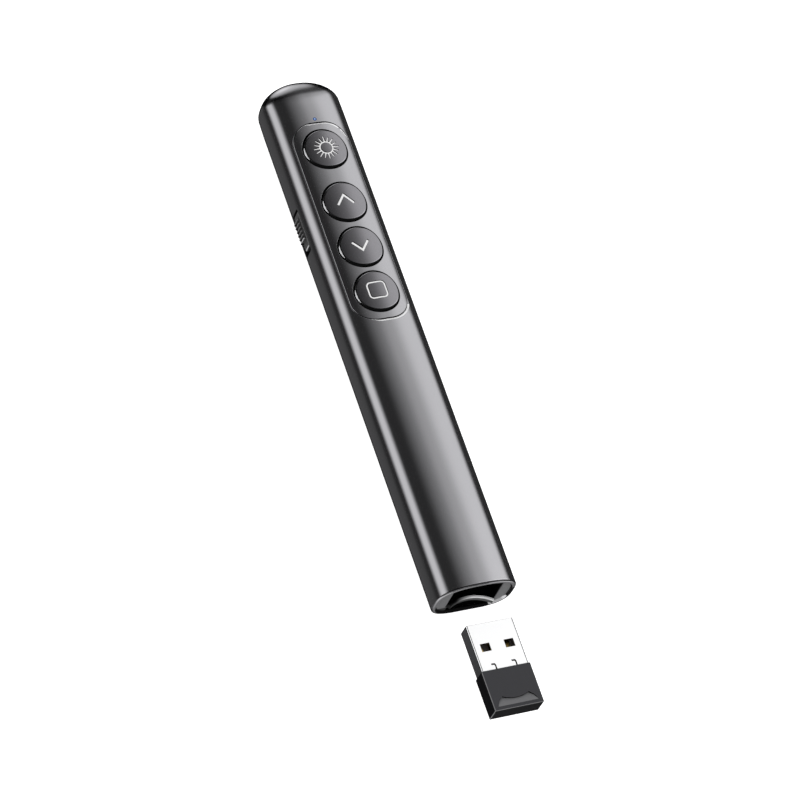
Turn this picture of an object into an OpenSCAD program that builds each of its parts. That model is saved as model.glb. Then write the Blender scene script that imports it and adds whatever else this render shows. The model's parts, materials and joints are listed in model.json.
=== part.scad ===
// Wireless presentation clicker: a metal sleeve with four buttons, a power slider,
// a laser in its head and a USB receiver that docks in its open tail.
// It lies on its back. X runs across it, +Y towards the head and +Z out of the buttons.

/* [Body] */
// Width of the body at its widest line
body_width = 20.8; // [20.2:0.1:24]
// Height of the button side above the widest line
crown_height = 7.0; // [6.8:0.1:8]
// Depth of the back below the widest line, before its resting strip is cut flat
belly_depth = 7.4; // [7.2:0.1:8.4]
// Depth cut off the back to make the flat strip that it rests on
rest_cut = 0.1; // [0.05:0.05:0.3]
// Wall of the metal sleeve
wall = 1.2; // [1:0.1:1.4]
// Squareness of the button side, where 2 is an ellipse
crown_power = 2.56; // [2.3:0.02:3]
// Squareness of the back, where 2 is an ellipse
belly_power = 3.28; // [2.9:0.02:3.8]
// Small bevel around the open tail end
tail_bevel = 0.3; // [0.1:0.1:0.5]

/* [Head] */
// Length of the head beyond the main board
head_room = 11.3; // [11.3:0.1:16]
// Length over which the head rounds off in width
head_round_width = 6.1; // [5:0.1:8]
// Length over which the head rounds off in thickness
head_round_thickness = 20.1; // [16:0.1:22]
// Squareness of the head's outline seen from the front
head_width_power = 2.14; // [2:0.02:3]
// Squareness of the head's outline seen from the side
head_thickness_power = 4.33; // [3.6:0.01:5]
// Diameter of the hole that the laser shines out of
aperture_d = 3.2; // [2.6:0.1:3.6]

/* [Button panel] */
// Width of the inset button panel
panel_width = 15.6; // [15.2:0.1:16]
// Radius of the panel's corners
panel_corner = 6; // [4:0.1:7]
// Panel beyond the centre of its first and its last button
panel_end = 8; // [7:0.1:9]
// Thickness of the panel at its middle
panel_thick = 2; // [1.8:0.1:2.1]
// Gap between the panel and the sleeve
panel_gap = 0.15; // [0.1:0.05:0.25]
// Width of the bevel along each long edge of the panel
panel_bevel = 1.1; // [0.6:0.1:1.3]

/* [Buttons] */
// Diameter of each button cap
button_d = 10.7; // [10:0.1:11]
// Gap around each cap in its hole
button_gap = 0.35; // [0.2:0.05:0.4]
// Height of the caps above the panel
button_proud = 0.45; // [0.3:0.05:0.7]
// Travel of each button
button_travel = 0.4; // [0.2:0.05:0.45]
// Distance from the blank screen button to the page down button
blank_to_down = 12.8; // [12.8:0.1:15]
// Distance from the page down button to the page up button
down_to_up = 13.05; // [12.8:0.05:15]
// Distance from the page up button to the laser button
up_to_laser = 15.6; // [14:0.1:18]
// Depth of the icons cut into the caps
icon_depth = 0.12; // [0.05:0.01:0.2]
// Width of the icons' lines
icon_line = 0.42; // [0.3:0.01:0.5]

/* [Power slider] */
// Length of the slot in the sleeve
slot_length = 11.8; // [11.4:0.1:13]
// Height of the slot in the sleeve
slot_height = 4.0; // [3.6:0.1:4.4]
// Travel of the slider towards the tail
slider_travel = 1.4; // [1:0.1:1.8]
// Height of the ribs on the slider
slider_rib = 0.45; // [0.2:0.05:0.6]
// Number of ribs on the slider
slider_ribs = 6; // [4:1:7]

/* [Battery] */
// Diameter of the AAA cell
cell_d = 10.5; // [10.1:0.1:10.5]
// Length of the AAA cell with its contact nub
cell_length = 44.5; // [43.8:0.1:44.5]
// Width of the battery door
door_width = 12.1; // [11.6:0.1:12.6]

/* [Receiver] */
// Width of the USB plug's metal shell
plug_width = 12.0; // [11.9:0.1:12.1]
// Thickness of the USB plug's metal shell
plug_thick = 4.5; // [4.4:0.1:4.6]
// Length of the shell outside the cap
plug_length = 11.9; // [11.5:0.1:12.5]
// Sheet thickness of the shell
plug_sheet = 0.3; // [0.25:0.01:0.35]
// Width of the receiver's plastic cap
cap_width = 12.5; // [12.4:0.1:12.8]
// Thickness of the cap
cap_thick = 4.9; // [4.8:0.1:5.2]
// Length of the cap
cap_length = 10.2; // [9.5:0.1:12]
// Gap between the tail and the plug when the receiver is out
pulled_out = 7.9; // [4:0.1:12]
// Gap around the docked receiver
bay_gap = 0.15; // [0.12:0.01:0.25]
// Radius of the finger scoop in the mouth of the bay
scoop_r = 10.9; // [9:0.1:13]

/* [Fits] */
// Gap between a housing and the part that seats in it
seat_gap = 0.1; // [0.08:0.01:0.12]
// Radial running clearance of a pin or plunger
pin_gap = 0.05; // [0.03:0.01:0.08]
// Gap around the moving slider and door
move_gap = 0.15; // [0.1:0.01:0.18]

/* [Hidden] */
$fn = 48;
section_points = 56;
dome_rings = 13;

half_width = body_width / 2;
wide_z = belly_depth - rest_cut;
crown_z = wide_z + crown_height;
floor_z = wall;

// Along the body, counted from the tail end
receiver_length = plug_length + cap_length;
liner_recess = 0.4;
docked_inset = 0.5;
bay_end = docked_inset + receiver_length + 0.3;
magnet_d = 5;
magnet_thick = 1;
liner_end = bay_end + magnet_thick + 0.5;
chassis_start = liner_end + 0.2;
pocket_start = chassis_start + 1.5;
contact_sheet = 0.3;
coil_length = 2.6;
cell_start = pocket_start + contact_sheet + coil_length;
cell_end = cell_start + cell_length;
pocket_end = cell_end + contact_sheet + 0.2;
tray_start = pocket_end + 1.4;
board_start = tray_start + 0.4;
button_y = [board_start + 4.55, board_start + 4.55 + blank_to_down,
            board_start + 4.55 + blank_to_down + down_to_up,
            board_start + 4.55 + blank_to_down + down_to_up + up_to_laser];
panel_start = button_y[0] - panel_end;
panel_stop = button_y[3] + panel_end;
led_y = panel_stop + 1;
board_end = led_y + 2;
tray_end = board_end + 0.2;
chassis_end = tray_end + 1.2;
body_length = board_end + head_room;

// The origin is under the middle of everything, with the receiver out
tail_y = -(body_length - pulled_out - receiver_length) / 2;

// Up from the surface that it rests on
panel_z = crown_z - panel_thick;
flange_gap = 0.15;
flange_thick = 0.6;
flange_d = 12.4;
cap_boss = 0.5;
plunger_out = button_travel + 0.15;
switch_height = 1.5;
flange_z = panel_z - flange_gap - flange_thick;
plunger_top = flange_z - cap_boss;
switch_top = plunger_top - plunger_out;
board_top = switch_top - switch_height;
board_thick = 1;
board_z = board_top - board_thick;
button_top = crown_z + button_proud;
laser_z = wide_z;
receiver_z = wide_z + 0.77;
cell_gap = 0.3;
cell_z = floor_z + cell_gap + cell_d / 2;
tray_floor = floor_z + seat_gap + 1.2;

// Across the body
tray_half = panel_width / 2 - 0.8;
board_half = tray_half - 0.2;
bay_half = cap_width / 2 + bay_gap;
bay_half_z = cap_thick / 2 + bay_gap;
mouth_depth = 6;
mouth_floor = floor_z + 2.2;
cradle_r = cell_d / 2 + 0.25;

plunger_d = 2.4;
switch_size = 4.5;
screw_d = 1.5;
screw_x = 4.6;
screw_head_d = 2.8;
screw_head = 0.9;
screw_y = [(button_y[0] + button_y[1]) / 2, (button_y[2] + button_y[3]) / 2];

// Power slider, at the head end of its slot at rest
slot_z = wide_z - 0.6;
slot_middle = button_y[2] - 2.9;
slot_tail = slot_middle - slot_length / 2;
slot_head = slot_middle + slot_length / 2;
knob_length = slot_length - slider_travel - 0.7;
knob_head = slot_head - 0.5;
knob_tail = knob_head - knob_length;
knob_y = (knob_head + knob_tail) / 2;
knob_face = half_width - 0.1;
flange_x = half_width - wall - 0.45;
knob_flange = 0.6;
knob_flange_end = 1;
knob_flange_side = 0.5;
lever_width = 1.5;
lever_height = 1.2;

// Battery door, closed flush with the back
door_start = pocket_start + 0.4;
door_end = pocket_end + 0.2;
door_sink = 0.05;
door_pivot_y = door_start + move_gap;
tab_x = 3.5;
tab_width = 2;

// Laser module
laser_d = 6;
laser_start = chassis_end + 0.2;
laser_length = 7.6;
laser_end = laser_start + laser_length;
cradle_length = 4.4;
window_y = body_length - 1.7;
lead_d = 0.8;
lead_x = cradle_r + 0.4 + lead_d / 2;
lead_z = floor_z + 2.2;
laser_wire_d = 0.6;
laser_lead_x = 1.2;
laser_lead_z = laser_z + 1.2;

// Small parts on the board and in the battery pocket
chip_size = 5;
chip_height = 0.9;
crystal_length = 3.2;
crystal_width = 2.5;
pipe_foot_d = 2.2;
screw_length = 4;
slide_switch_half = 4.2;
slide_switch_depth = 3.4;
plate_half = 4;
plate_rise = 3.6;

plug_front = -pulled_out;
plug_back = plug_front - plug_length;
receiver_back = plug_back - cap_length;
tongue_top = receiver_z;

// ---- Shapes shared by the pieces ----

// One coordinate of a superellipse, from the cosine or sine of its angle
function lobe(c, power) = sign(c) * pow(abs(c), 2 / power);

// The body's cross-section, moved inwards by inset and squeezed by two scales
function section(inset, scale_x = 1, scale_z = 1) = [
    for (i = [0:section_points - 1])
        let (a = 360 * i / section_points, up = sin(a) >= 0,
             power = up ? crown_power : belly_power,
             reach = (up ? crown_height : belly_depth) - inset,
             z = reach * lobe(sin(a), power) * scale_z)
        [(half_width - inset) * lobe(cos(a), power) * scale_x,
         wide_z + max(z, -(wide_z - inset))]
];

// Height of the crown at a distance x from the middle
function crown_at(x, inset) = wide_z + (crown_height - inset)
    * pow(1 - pow(x / (half_width - inset), crown_power), 1 / crown_power);

// How much the head has shrunk, run being the distance past the start of its rounding
function rounding(run, length, power) =
    run <= 0 ? 1 : pow(max(1 - pow(run / length, power), 0.0004), 1 / power);
function thickness_scale(y, inset, tip) =
    rounding(y - tip + head_round_thickness - inset, head_round_thickness - inset,
             head_thickness_power);
function width_scale(y, inset, tip) =
    rounding(y - tip + head_round_width - inset, head_round_width - inset, head_width_power);

// The body's closed outer shape, or its hollow when inset is the wall
module body_form(inset, start, tip, bevel) {
    dome = head_round_thickness - inset;
    ys = concat([start, start + bevel],
                [for (i = [0:dome_rings]) tip - dome * (1 - sin(90 * i / dome_rings))]);
    rings = [for (k = [0:len(ys) - 1])
        let (flat = section(inset + (k == 0 ? bevel : 0), width_scale(ys[k], inset, tip),
                            thickness_scale(ys[k], inset, tip)))
        [for (p = flat) [p[0], ys[k], p[1]]]];
    n = section_points;
    last = len(ys) - 1;
    sides = [for (k = [0:last - 1], i = [0:n - 1])
        [k * n + i, k * n + (i + 1) % n, (k + 1) * n + (i + 1) % n, (k + 1) * n + i]];
    polyhedron(points = [for (ring = rings) for (p = ring) p],
               faces = concat([[for (i = [0:n - 1]) n - 1 - i]], sides,
                              [[for (i = [0:n - 1]) last * n + i]]));
}

module placed() translate([0, tail_y, 0]) children();

// Extrudes an XZ shape along Y, or an XY shape along Z, between two places
module along_y(from, to) translate([0, to, 0]) rotate([90, 0, 0]) linear_extrude(to - from) children();
module up_z(from, to) translate([0, 0, from]) linear_extrude(to - from) children();

// A box between two corners
module block(low, high) translate(low) cube(high - low);

module round_bar(d, from, to, x, z) along_y(from, to) translate([x, z]) circle(d = d);

// A round rod between two [y, z] places at one x
module rod(d, x, from, to) translate([x, from[0], from[1]])
    rotate([-atan2(to[0] - from[0], to[1] - from[1]), 0, 0]) cylinder(d = d, h = norm(to - from));

module rounded_rectangle(x, y, r) {
    square([x, y - 2 * r], center = true);
    square([x - 2 * r, y], center = true);
    for (sx = [-1, 1], sy = [-1, 1])
        translate([sx * (x / 2 - r), sy * (y / 2 - r)]) circle(r);
}

module panel_outline(gap) translate([0, (panel_start + panel_stop) / 2])
    rounded_rectangle(panel_width - 2 * gap, panel_stop - panel_start - 2 * gap, panel_corner - gap);

module door_outline(gap) translate([0, (door_start + door_end) / 2])
    rounded_rectangle(door_width + 2 * (move_gap - gap), door_end - door_start - 2 * gap, 1.2);

// ---- Housing ----

module sleeve() color("#4b4b4e") placed() difference() {
    body_form(0, 0, body_length, tail_bevel);
    body_form(wall, -1, body_length - wall - 0.4, 0.5);
    up_z(wide_z, crown_z + 1) panel_outline(0);
    up_z(-1, floor_z + 1) door_outline(0);
    translate([0, led_y, wide_z]) cylinder(d = 0.9, h = crown_height + 1);
    round_bar(aperture_d + 2 * pin_gap, body_length - 4, body_length + 1, 0, laser_z);
    block([-half_width - 1, slot_tail, slot_z - slot_height / 2],
          [-half_width + wall + 1.2, slot_head, slot_z + slot_height / 2]);
}

// The panel's top follows the crown, a little flatter, and bevels down at its long edges
module panel_section() {
    field = panel_width / 2 - panel_gap - panel_bevel;
    edge = panel_width / 2 - panel_gap;
    steps = 24;
    top = [for (i = [0:steps]) let (x = field * (2 * i / steps - 1)) [x, crown_at(abs(x), 0)]];
    polygon(concat([[-edge, panel_z], [-edge, crown_at(edge, 0) - 0.15]], top,
                   [[edge, crown_at(edge, 0) - 0.15], [edge, panel_z]]));
}

module button_panel() color("#56565a") placed() difference() {
    union() {
        intersection() {
            along_y(panel_start, panel_stop) panel_section();
            up_z(0, crown_z + 1) panel_outline(panel_gap);
        }
        for (side = [-1, 1])
            translate([side * (tray_half + 0.2), (panel_start + panel_stop) / 2, 0])
                up_z(crown_at(tray_half - 0.1, wall) + 0.05, panel_z + 0.1)
                    square([0.6, panel_stop - panel_start - 2 * panel_corner], center = true);
    }
    for (y = button_y)
        translate([0, y, panel_z - 1]) cylinder(d = button_d + 2 * button_gap, h = panel_thick + 2);
}

module boss(x, y) translate([x, y, tray_floor - 0.4]) difference() {
    cylinder(d = 3.6, h = board_z - tray_floor + 0.4);
    translate([0, 0, 1]) cylinder(d = screw_d + 2 * pin_gap, h = board_z);
}

module chassis() color("#2b2b2d") placed() {
    nose_scale = thickness_scale(chassis_end, wall, body_length - wall - 0.4);
    straight_end = min(body_length - head_round_thickness, tray_end);
    inset = wall + seat_gap;
    difference() {
        union() {
            along_y(chassis_start, straight_end) polygon(section(inset));
            along_y(straight_end, chassis_end) polygon(section(inset, 1, nose_scale - 0.01));
            block([-4.2, chassis_end, laser_z - 4], [4.2, chassis_end + cradle_length, laser_z + 4]);
        }
        // Cradle for the cell, open to the back
        round_bar(2 * cradle_r, pocket_start, pocket_end, 0, cell_z);
        block([-cradle_r, pocket_start, -1], [cradle_r, pocket_end, cell_z]);
        // Tray for the board, open to the panel
        block([-tray_half, tray_start, tray_floor], [tray_half, tray_end, crown_z]);
        // Way for the slider
        block([-half_width, knob_tail - knob_flange_end - slider_travel - 0.4,
               slot_z - slot_height / 2 - 0.8],
              [-tray_half + 1, knob_head + knob_flange_end + 0.3, slot_z + slot_height / 2 + 0.8]);
        // Room for the door's tabs and its latch
        for (side = [-1, 1])
            block([side * tab_x - 1.3, chassis_start + 0.5, 0],
                  [side * tab_x + 1.3, pocket_start + 1, floor_z + 2]);
        block([-3, pocket_end - 1, 0], [3, pocket_end + 0.5, floor_z + 1.8]);
        // Seat of the panel's tail end
        up_z(panel_z - seat_gap, crown_z) panel_outline(-0.3);
        // Room for the last button's flange
        translate([0, button_y[0], flange_z - button_travel - 0.3])
            cylinder(d = flange_d + 0.6, h = crown_z);
        // Slots for the contacts and the lead
        block([cradle_r - 2, pocket_start, lead_z - 0.8], [lead_x + 0.8, pocket_start + 0.5, lead_z + 0.8]);
        block([-1.6, pocket_end - 1, board_z - 1.2], [1.6, tray_start + 1, board_z]);
        round_bar(lead_d + 0.3, pocket_start, tray_start + 1, lead_x, lead_z);
        // Seat of the laser, and the way of its leads
        round_bar(laser_d + 2 * pin_gap, laser_start, chassis_end + cradle_length + 1, 0, laser_z);
        for (side = [-1, 1]) laser_lead(side, laser_wire_d + 0.4, laser_wire_d + 0.4);
    }
    for (side = [-1, 1], y = screw_y) boss(side * screw_x, y);
}

module tail_liner() color("#6c6c6e") placed() difference() {
    along_y(liner_recess, liner_end) polygon(section(wall + seat_gap));
    block([-bay_half, -1, mouth_floor], [bay_half, mouth_depth, crown_z]);
    block([-bay_half, 0, receiver_z - bay_half_z], [bay_half, bay_end, receiver_z + bay_half_z]);
    translate([0, liner_recess + 1.8 - scoop_r, 0]) cylinder(r = scoop_r, h = mouth_floor + 1, $fn = 96);
    round_bar(magnet_d + 2 * pin_gap, liner_end - magnet_thick, liner_end + 1, 0, receiver_z);
}

module dock_magnet() color("#b9babd") placed()
    round_bar(magnet_d, liner_end - magnet_thick, liner_end, 0, receiver_z);

// ---- Buttons ----

// A bar with round ends between two points
module stroke(a, b) {
    d = b - a;
    translate(a) rotate(atan2(d[1], d[0])) translate([0, -icon_line / 2]) square([norm(d), icon_line]);
    for (p = [a, b]) translate(p) circle(d = icon_line);
}

module sun_icon() {
    rays = 16;
    difference() {
        circle(r = 1.9);
        circle(r = 1.9 - icon_line);
    }
    for (i = [0:rays - 1]) rotate(360 * i / rays + 9)
        translate([1.75, -icon_line / 2]) square([(i % 2 == 0 ? 3.1 : 2.6) - 1.75, icon_line]);
}

module chevron_icon(up) for (side = [-1, 1])
    stroke([0, up * 1.45], [side * 1.85, -up * 1.35]);

module square_icon() difference() {
    rounded_rectangle(4.5, 4.2, 0.9);
    rounded_rectangle(4.5 - 2 * icon_line, 4.2 - 2 * icon_line, 0.9 - icon_line);
}

module button(y) placed() translate([0, y, 0]) difference() {
    edge = 0.4;
    r = button_d / 2;
    union() {
        rotate_extrude($fn = 96) polygon(concat(
            [[0, flange_z], [r, flange_z]],
            [for (a = [0:15:90]) [r - edge + edge * cos(a), button_top - edge + edge * sin(a)]],
            [[0, button_top]]));
        translate([0, 0, flange_z]) cylinder(d = flange_d, h = flange_thick);
        translate([0, 0, plunger_top]) cylinder(d = 4, h = cap_boss + 0.1);
    }
    up_z(button_top - icon_depth, button_top + 1) children();
}

module laser_button() color("#48484b") button(button_y[3]) sun_icon();
module up_button() color("#48484b") button(button_y[2]) chevron_icon(1);
module down_button() color("#48484b") button(button_y[1]) chevron_icon(-1);
module blank_button() color("#48484b") button(button_y[0]) square_icon();

module plunger(y) placed() translate([0, y, switch_top - 0.6])
    cylinder(d = plunger_d, h = plunger_top - switch_top + 0.6);

module laser_plunger() color("#d9d4c8") plunger(button_y[3]);
module up_plunger() color("#d9d4c8") plunger(button_y[2]);
module down_plunger() color("#d9d4c8") plunger(button_y[1]);
module blank_plunger() color("#d9d4c8") plunger(button_y[0]);

module tact_switch(y) placed() translate([0, y, 0]) difference() {
    up_z(board_top, switch_top) rounded_rectangle(switch_size, switch_size, 0.5);
    up_z(switch_top - 0.6 - button_travel - 0.1, switch_top + 1) circle(d = plunger_d + 2 * pin_gap);
}

module laser_switch() color("#1f1f21") tact_switch(button_y[3]);
module up_switch() color("#1f1f21") tact_switch(button_y[2]);
module down_switch() color("#1f1f21") tact_switch(button_y[1]);
module blank_switch() color("#1f1f21") tact_switch(button_y[0]);

// ---- Electronics ----

module main_board() color("#1f5c3a") placed() difference() {
    block([-board_half, board_start, board_z], [board_half, board_end, board_top]);
    for (side = [-1, 1], y = screw_y)
        translate([side * screw_x, y, board_z - 1]) cylinder(d = screw_d + 0.3, h = board_thick + 2);
}

module radio_chip() color("#1a1a1b") placed()
    translate([1.5, button_y[1], board_z - chip_height])
        block([-chip_size / 2, -chip_size / 2, 0], [chip_size / 2, chip_size / 2, chip_height]);

module board_crystal() color("#c4c5c8") placed()
    translate([0, button_y[1] - chip_size, 0]) up_z(board_z - chip_height + 0.1, board_z)
        rounded_rectangle(crystal_length, crystal_width, 0.4);

module status_led() color("#dfe6f5") placed()
    translate([0, led_y, board_top]) block([-0.8, -0.5, 0], [0.8, 0.5, 0.6]);

module light_pipe() color("#8fb8ff") placed() translate([0, led_y, 0]) {
    translate([0, 0, board_top + 0.7]) cylinder(d = pipe_foot_d, h = 0.8);
    translate([0, 0, board_top + 1.4]) cylinder(d = 1.5, h = crown_z - wall - 0.15 - board_top - 1.4);
    translate([0, 0, crown_z - wall - 0.3]) cylinder(d = 0.8, h = wall + 0.3);
}

module board_screws() color("#a9abae") placed() for (side = [-1, 1], y = screw_y)
    translate([side * screw_x, y, board_top]) difference() {
        union() {
            translate([0, 0, -screw_length]) cylinder(d = screw_d, h = screw_length + 0.1);
            cylinder(d = screw_head_d, h = screw_head);
        }
        for (turn = [0, 90]) rotate(turn) block([-0.9, -0.18, screw_head - 0.45], [0.9, 0.18, 2]);
    }

module slide_switch() color("#2a2a2c") placed() difference() {
    block([-board_half, knob_y - slider_travel / 2 - slide_switch_half, slot_z - 1.3],
          [-board_half + slide_switch_depth, knob_y - slider_travel / 2 + slide_switch_half, board_z]);
    block([-board_half - 1, knob_y - slider_travel - lever_width / 2 - move_gap,
           slot_z - lever_height / 2 - pin_gap],
          [-board_half + 1.9, knob_y + lever_width / 2 + move_gap,
           slot_z + lever_height / 2 + pin_gap]);
}

module slider_lever() color("#d9d4c8") placed()
    block([-flange_x + knob_flange, knob_y - lever_width / 2, slot_z - lever_height / 2],
          [-board_half + 1.7, knob_y + lever_width / 2, slot_z + lever_height / 2]);

module slider_knob() color("#4a4a4c") placed() {
    half_z = slot_height / 2 - move_gap;
    pitch = 1.08;
    first_rib = knob_tail + 2.3;
    intersection() {
        along_y(knob_tail, knob_head) polygon(section(half_width - knob_face));
        block([-half_width, knob_tail, slot_z - half_z], [-flange_x + 0.1, knob_head, slot_z + half_z]);
    }
    for (i = [0:slider_ribs - 1]) translate([-knob_face, first_rib + i * pitch, 0])
        up_z(slot_z - half_z + 0.3, slot_z + half_z - 0.3)
            polygon([[0.5, -0.35], [-slider_rib + 0.1, -0.3], [-slider_rib + 0.1, 0], [0.5, 0.6]]);
    block([-flange_x, knob_tail - knob_flange_end, slot_z - slot_height / 2 - knob_flange_side],
          [-flange_x + knob_flange, knob_head + knob_flange_end,
           slot_z + slot_height / 2 + knob_flange_side]);
    for (side = [-1, 1])
        translate([-flange_x + knob_flange, knob_y + side * (lever_width / 2 + 0.45), slot_z])
            block([-0.1, -0.4, -0.9], [0.9, 0.4, 0.9]);
}

// ---- Power ----

module battery_cell() color("#b8862b") placed() {
    round_bar(cell_d, cell_start, cell_end - 0.8, 0, cell_z);
    round_bar(3.8, cell_end - 1, cell_end, 0, cell_z);
}

// A conical coil spring standing on its contact plate
module battery_spring() color("#c9cacc") placed() {
    turns = 3;
    steps = 16 * turns;
    wire_r = 0.3;
    sides = 8;
    span = coil_length - 2 * wire_r;
    points = [for (k = [0:steps]) let (a = 360 * turns * k / steps, r = 3.4 - 1.4 * k / steps,
                                       y = pocket_start + contact_sheet + wire_r - 0.05 + span * k / steps)
        for (j = [0:sides - 1]) let (b = 360 * j / sides, q = r + wire_r * cos(b))
            [q * cos(a), y + wire_r * sin(b), cell_z + q * sin(a)]];
    polyhedron(points = points, faces = concat(
        [[for (j = [0:sides - 1]) j]],
        [for (k = [0:steps - 1], j = [0:sides - 1]) let (n = (j + 1) % sides)
            [(k + 1) * sides + j, (k + 1) * sides + n, k * sides + n, k * sides + j]],
        [[for (j = [0:sides - 1]) steps * sides + sides - 1 - j]]));
    block([-4.2, pocket_start, lead_z], [4.2, pocket_start + contact_sheet, cell_z + 3.4]);
    block([4, pocket_start, lead_z - 0.3], [lead_x + 0.4, pocket_start + contact_sheet, lead_z + 0.6]);
}

module battery_plate() color("#c9cacc") placed() {
    block([-plate_half, cell_end, lead_z], [plate_half, cell_end + contact_sheet, cell_z + plate_rise]);
    block([-1.3, cell_end, board_z - 0.3], [1.3, board_start + 1.6, board_z]);
}

module battery_lead() color("#20242c") placed() {
    round_bar(lead_d, pocket_start + contact_sheet, board_start + 1.4, lead_x, lead_z);
    translate([lead_x, board_start + 1.4, lead_z]) sphere(d = lead_d);
    translate([lead_x, board_start + 1.4, lead_z]) cylinder(d = lead_d, h = board_z - lead_z);
}

module battery_door() color("#464649") placed() {
    difference() {
        intersection() {
            along_y(door_start, door_end) polygon(section(door_sink));
            up_z(0, floor_z + seat_gap - move_gap) door_outline(move_gap);
        }
        for (i = [0:3]) translate([0, door_end - 4 - 1.2 * i, -0.4])
            rotate([0, 90, 0]) cylinder(d = 1, h = 6, center = true);
    }
    // Pads that steady the cell
    for (y = [cell_start + 8, cell_end - 10])
        block([-1.5, y, floor_z - 0.1], [1.5, y + 2, floor_z + cell_gap - 0.1]);
    // Tabs that hook under the sleeve, and the latch tongue at the other end
    for (side = [-1, 1]) translate([side * tab_x, 0, 0]) {
        block([-tab_width / 2, door_pivot_y, floor_z - 0.2],
              [tab_width / 2, door_pivot_y + 0.7, floor_z + 0.9]);
        block([-tab_width / 2, door_start - 0.9, floor_z + 0.25],
              [tab_width / 2, door_pivot_y + 0.7, floor_z + 0.9]);
    }
    block([-2.5, door_end - 1.1, floor_z - 0.1], [2.5, door_end - 0.4, floor_z + 1.3]);
}

// ---- Laser ----

module laser_barrel() color("#b08d4c") placed() difference() {
    round_bar(laser_d, laser_start, laser_end, 0, laser_z);
    round_bar(5, laser_start - 1, laser_start + 2.8, 0, laser_z);
    round_bar(3.4, laser_start, laser_end, 0, laser_z);
    round_bar(4.4, laser_end - 2.4, laser_end + 1, 0, laser_z);
}

module laser_diode() color("#c8b27a") placed() {
    round_bar(4.9, laser_start + 1.8, laser_start + 2.8, 0, laser_z);
    round_bar(3.2, laser_start + 2.8, laser_start + 4.2, 0, laser_z);
    for (a = [90, 210, 330])
        round_bar(0.45, laser_start + 1, laser_start + 2, 1.3 * cos(a), laser_z + 1.3 * sin(a));
}

module laser_lens() color("#cfe6ea") placed() translate([0, laser_end - 2.4, laser_z])
    rotate([-90, 0, 0]) rotate_extrude() polygon(concat([[0, 0], [2.15, 0]],
        [for (i = [4:-1:0]) [2.15 * i / 4, 1.5 - 0.6 * pow(i / 4, 2)]]));

module laser_board() color("#1f5c3a") placed()
    round_bar(4.8, laser_start + 0.2, laser_start + 1, 0, laser_z);

// One of the laser's two leads: a wire from the board's edge to the laser, with bare ends
module laser_lead(side, wire, bare) {
    round_bar(bare, board_end, board_end + 0.4, side * laser_lead_x, board_z + board_thick / 2);
    round_bar(bare, laser_start - 0.3, laser_start + 0.2, side * laser_lead_x, laser_lead_z);
    rod(wire, side * laser_lead_x, [board_end + 0.2, board_z + board_thick / 2],
        [laser_start - 0.1, laser_lead_z]);
}

module laser_leads() color("#a03028") placed()
    for (side = [-1, 1]) laser_lead(side, laser_wire_d, laser_wire_d - 0.15);

module laser_window() color("#3a1f24") placed()
    round_bar(aperture_d, window_y, window_y + 0.8, 0, laser_z);

// ---- Receiver ----

module receiver_box(half_x, half_z, from, to)
    block([-half_x, from, receiver_z - half_z], [half_x, to, receiver_z + half_z]);

module receiver_shell() color("#e9eaec") placed() difference() {
    receiver_box(plug_width / 2, plug_thick / 2, plug_back, plug_front);
    receiver_box(plug_width / 2 - plug_sheet, plug_thick / 2 - plug_sheet, plug_back - 1, plug_front + 1);
    for (side = [-1, 1]) translate([side * 3.05, plug_front - 6.17, 0])
        block([-1.2, -1.02, 0], [1.2, 1.02, crown_z]);
    // Slits that free the two latch tabs
    for (x = [-2.25, 2.95]) translate([x, plug_back, receiver_z]) {
        block([-0.09, -1, 0], [0.09, 1.45, 5]);
        block([-0.9, 1.27, 0], [0.09, 1.45, 5]);
    }
}

module receiver_tongue() color("#e7e2d6") placed()
    block([-plug_width / 2 + plug_sheet + 0.05, plug_back - 5,
           receiver_z - plug_thick / 2 + plug_sheet + 0.02],
          [plug_width / 2 - plug_sheet - 0.05, plug_front - 0.3, tongue_top]);

module receiver_contacts() color("#d6ad4b") placed() for (x = [-3.5, -1, 1, 3.5])
    block([x - 0.5, plug_back + 0.5, tongue_top],
          [x + 0.5, plug_front - (abs(x) > 2 ? 1 : 2), tongue_top + 0.15]);

module receiver_board() color("#1f5c3a") placed()
    block([-5, plug_back - 8.6, tongue_top], [5, plug_back - 0.4, tongue_top + 0.8]);

module receiver_chip() color("#1a1a1b") placed()
    block([-2, plug_back - 6, tongue_top + 0.8], [2, plug_back - 2, tongue_top + 1.6]);

module grip_outline() difference() {
    polygon([[-5.2, 0.9], [-4.5, 2.2], [-3.35, 3.25], [3.35, 3.25], [4.5, 2.2], [5.2, 0.9]]);
    translate([0, 10.2]) circle(r = 7.75);
}

module receiver_cap() color("#232325") placed() difference() {
    receiver_box(cap_width / 2, cap_thick / 2, receiver_back, plug_back);
    receiver_box(plug_width / 2 - plug_sheet, plug_thick / 2 - plug_sheet + 0.02,
                 plug_back - 9, plug_back + 1);
    translate([0, receiver_back, 0])
        up_z(receiver_z + cap_thick / 2 - 0.3, receiver_z + cap_thick) grip_outline();
}

sleeve();
button_panel();
chassis();
tail_liner();
dock_magnet();
laser_button();
up_button();
down_button();
blank_button();
laser_plunger();
up_plunger();
down_plunger();
blank_plunger();
laser_switch();
up_switch();
down_switch();
blank_switch();
main_board();
radio_chip();
board_crystal();
status_led();
light_pipe();
board_screws();
slide_switch();
slider_lever();
slider_knob();
battery_cell();
battery_spring();
battery_plate();
battery_lead();
battery_door();
laser_barrel();
laser_diode();
laser_lens();
laser_board();
laser_leads();
laser_window();
receiver_shell();
receiver_tongue();
receiver_contacts();
receiver_board();
receiver_chip();
receiver_cap();
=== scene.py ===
"""Looks of a wireless presentation clicker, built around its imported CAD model."""

import json
import math

import bmesh
import bpy
import numpy as np
from mathutils import Matrix, Vector


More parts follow.
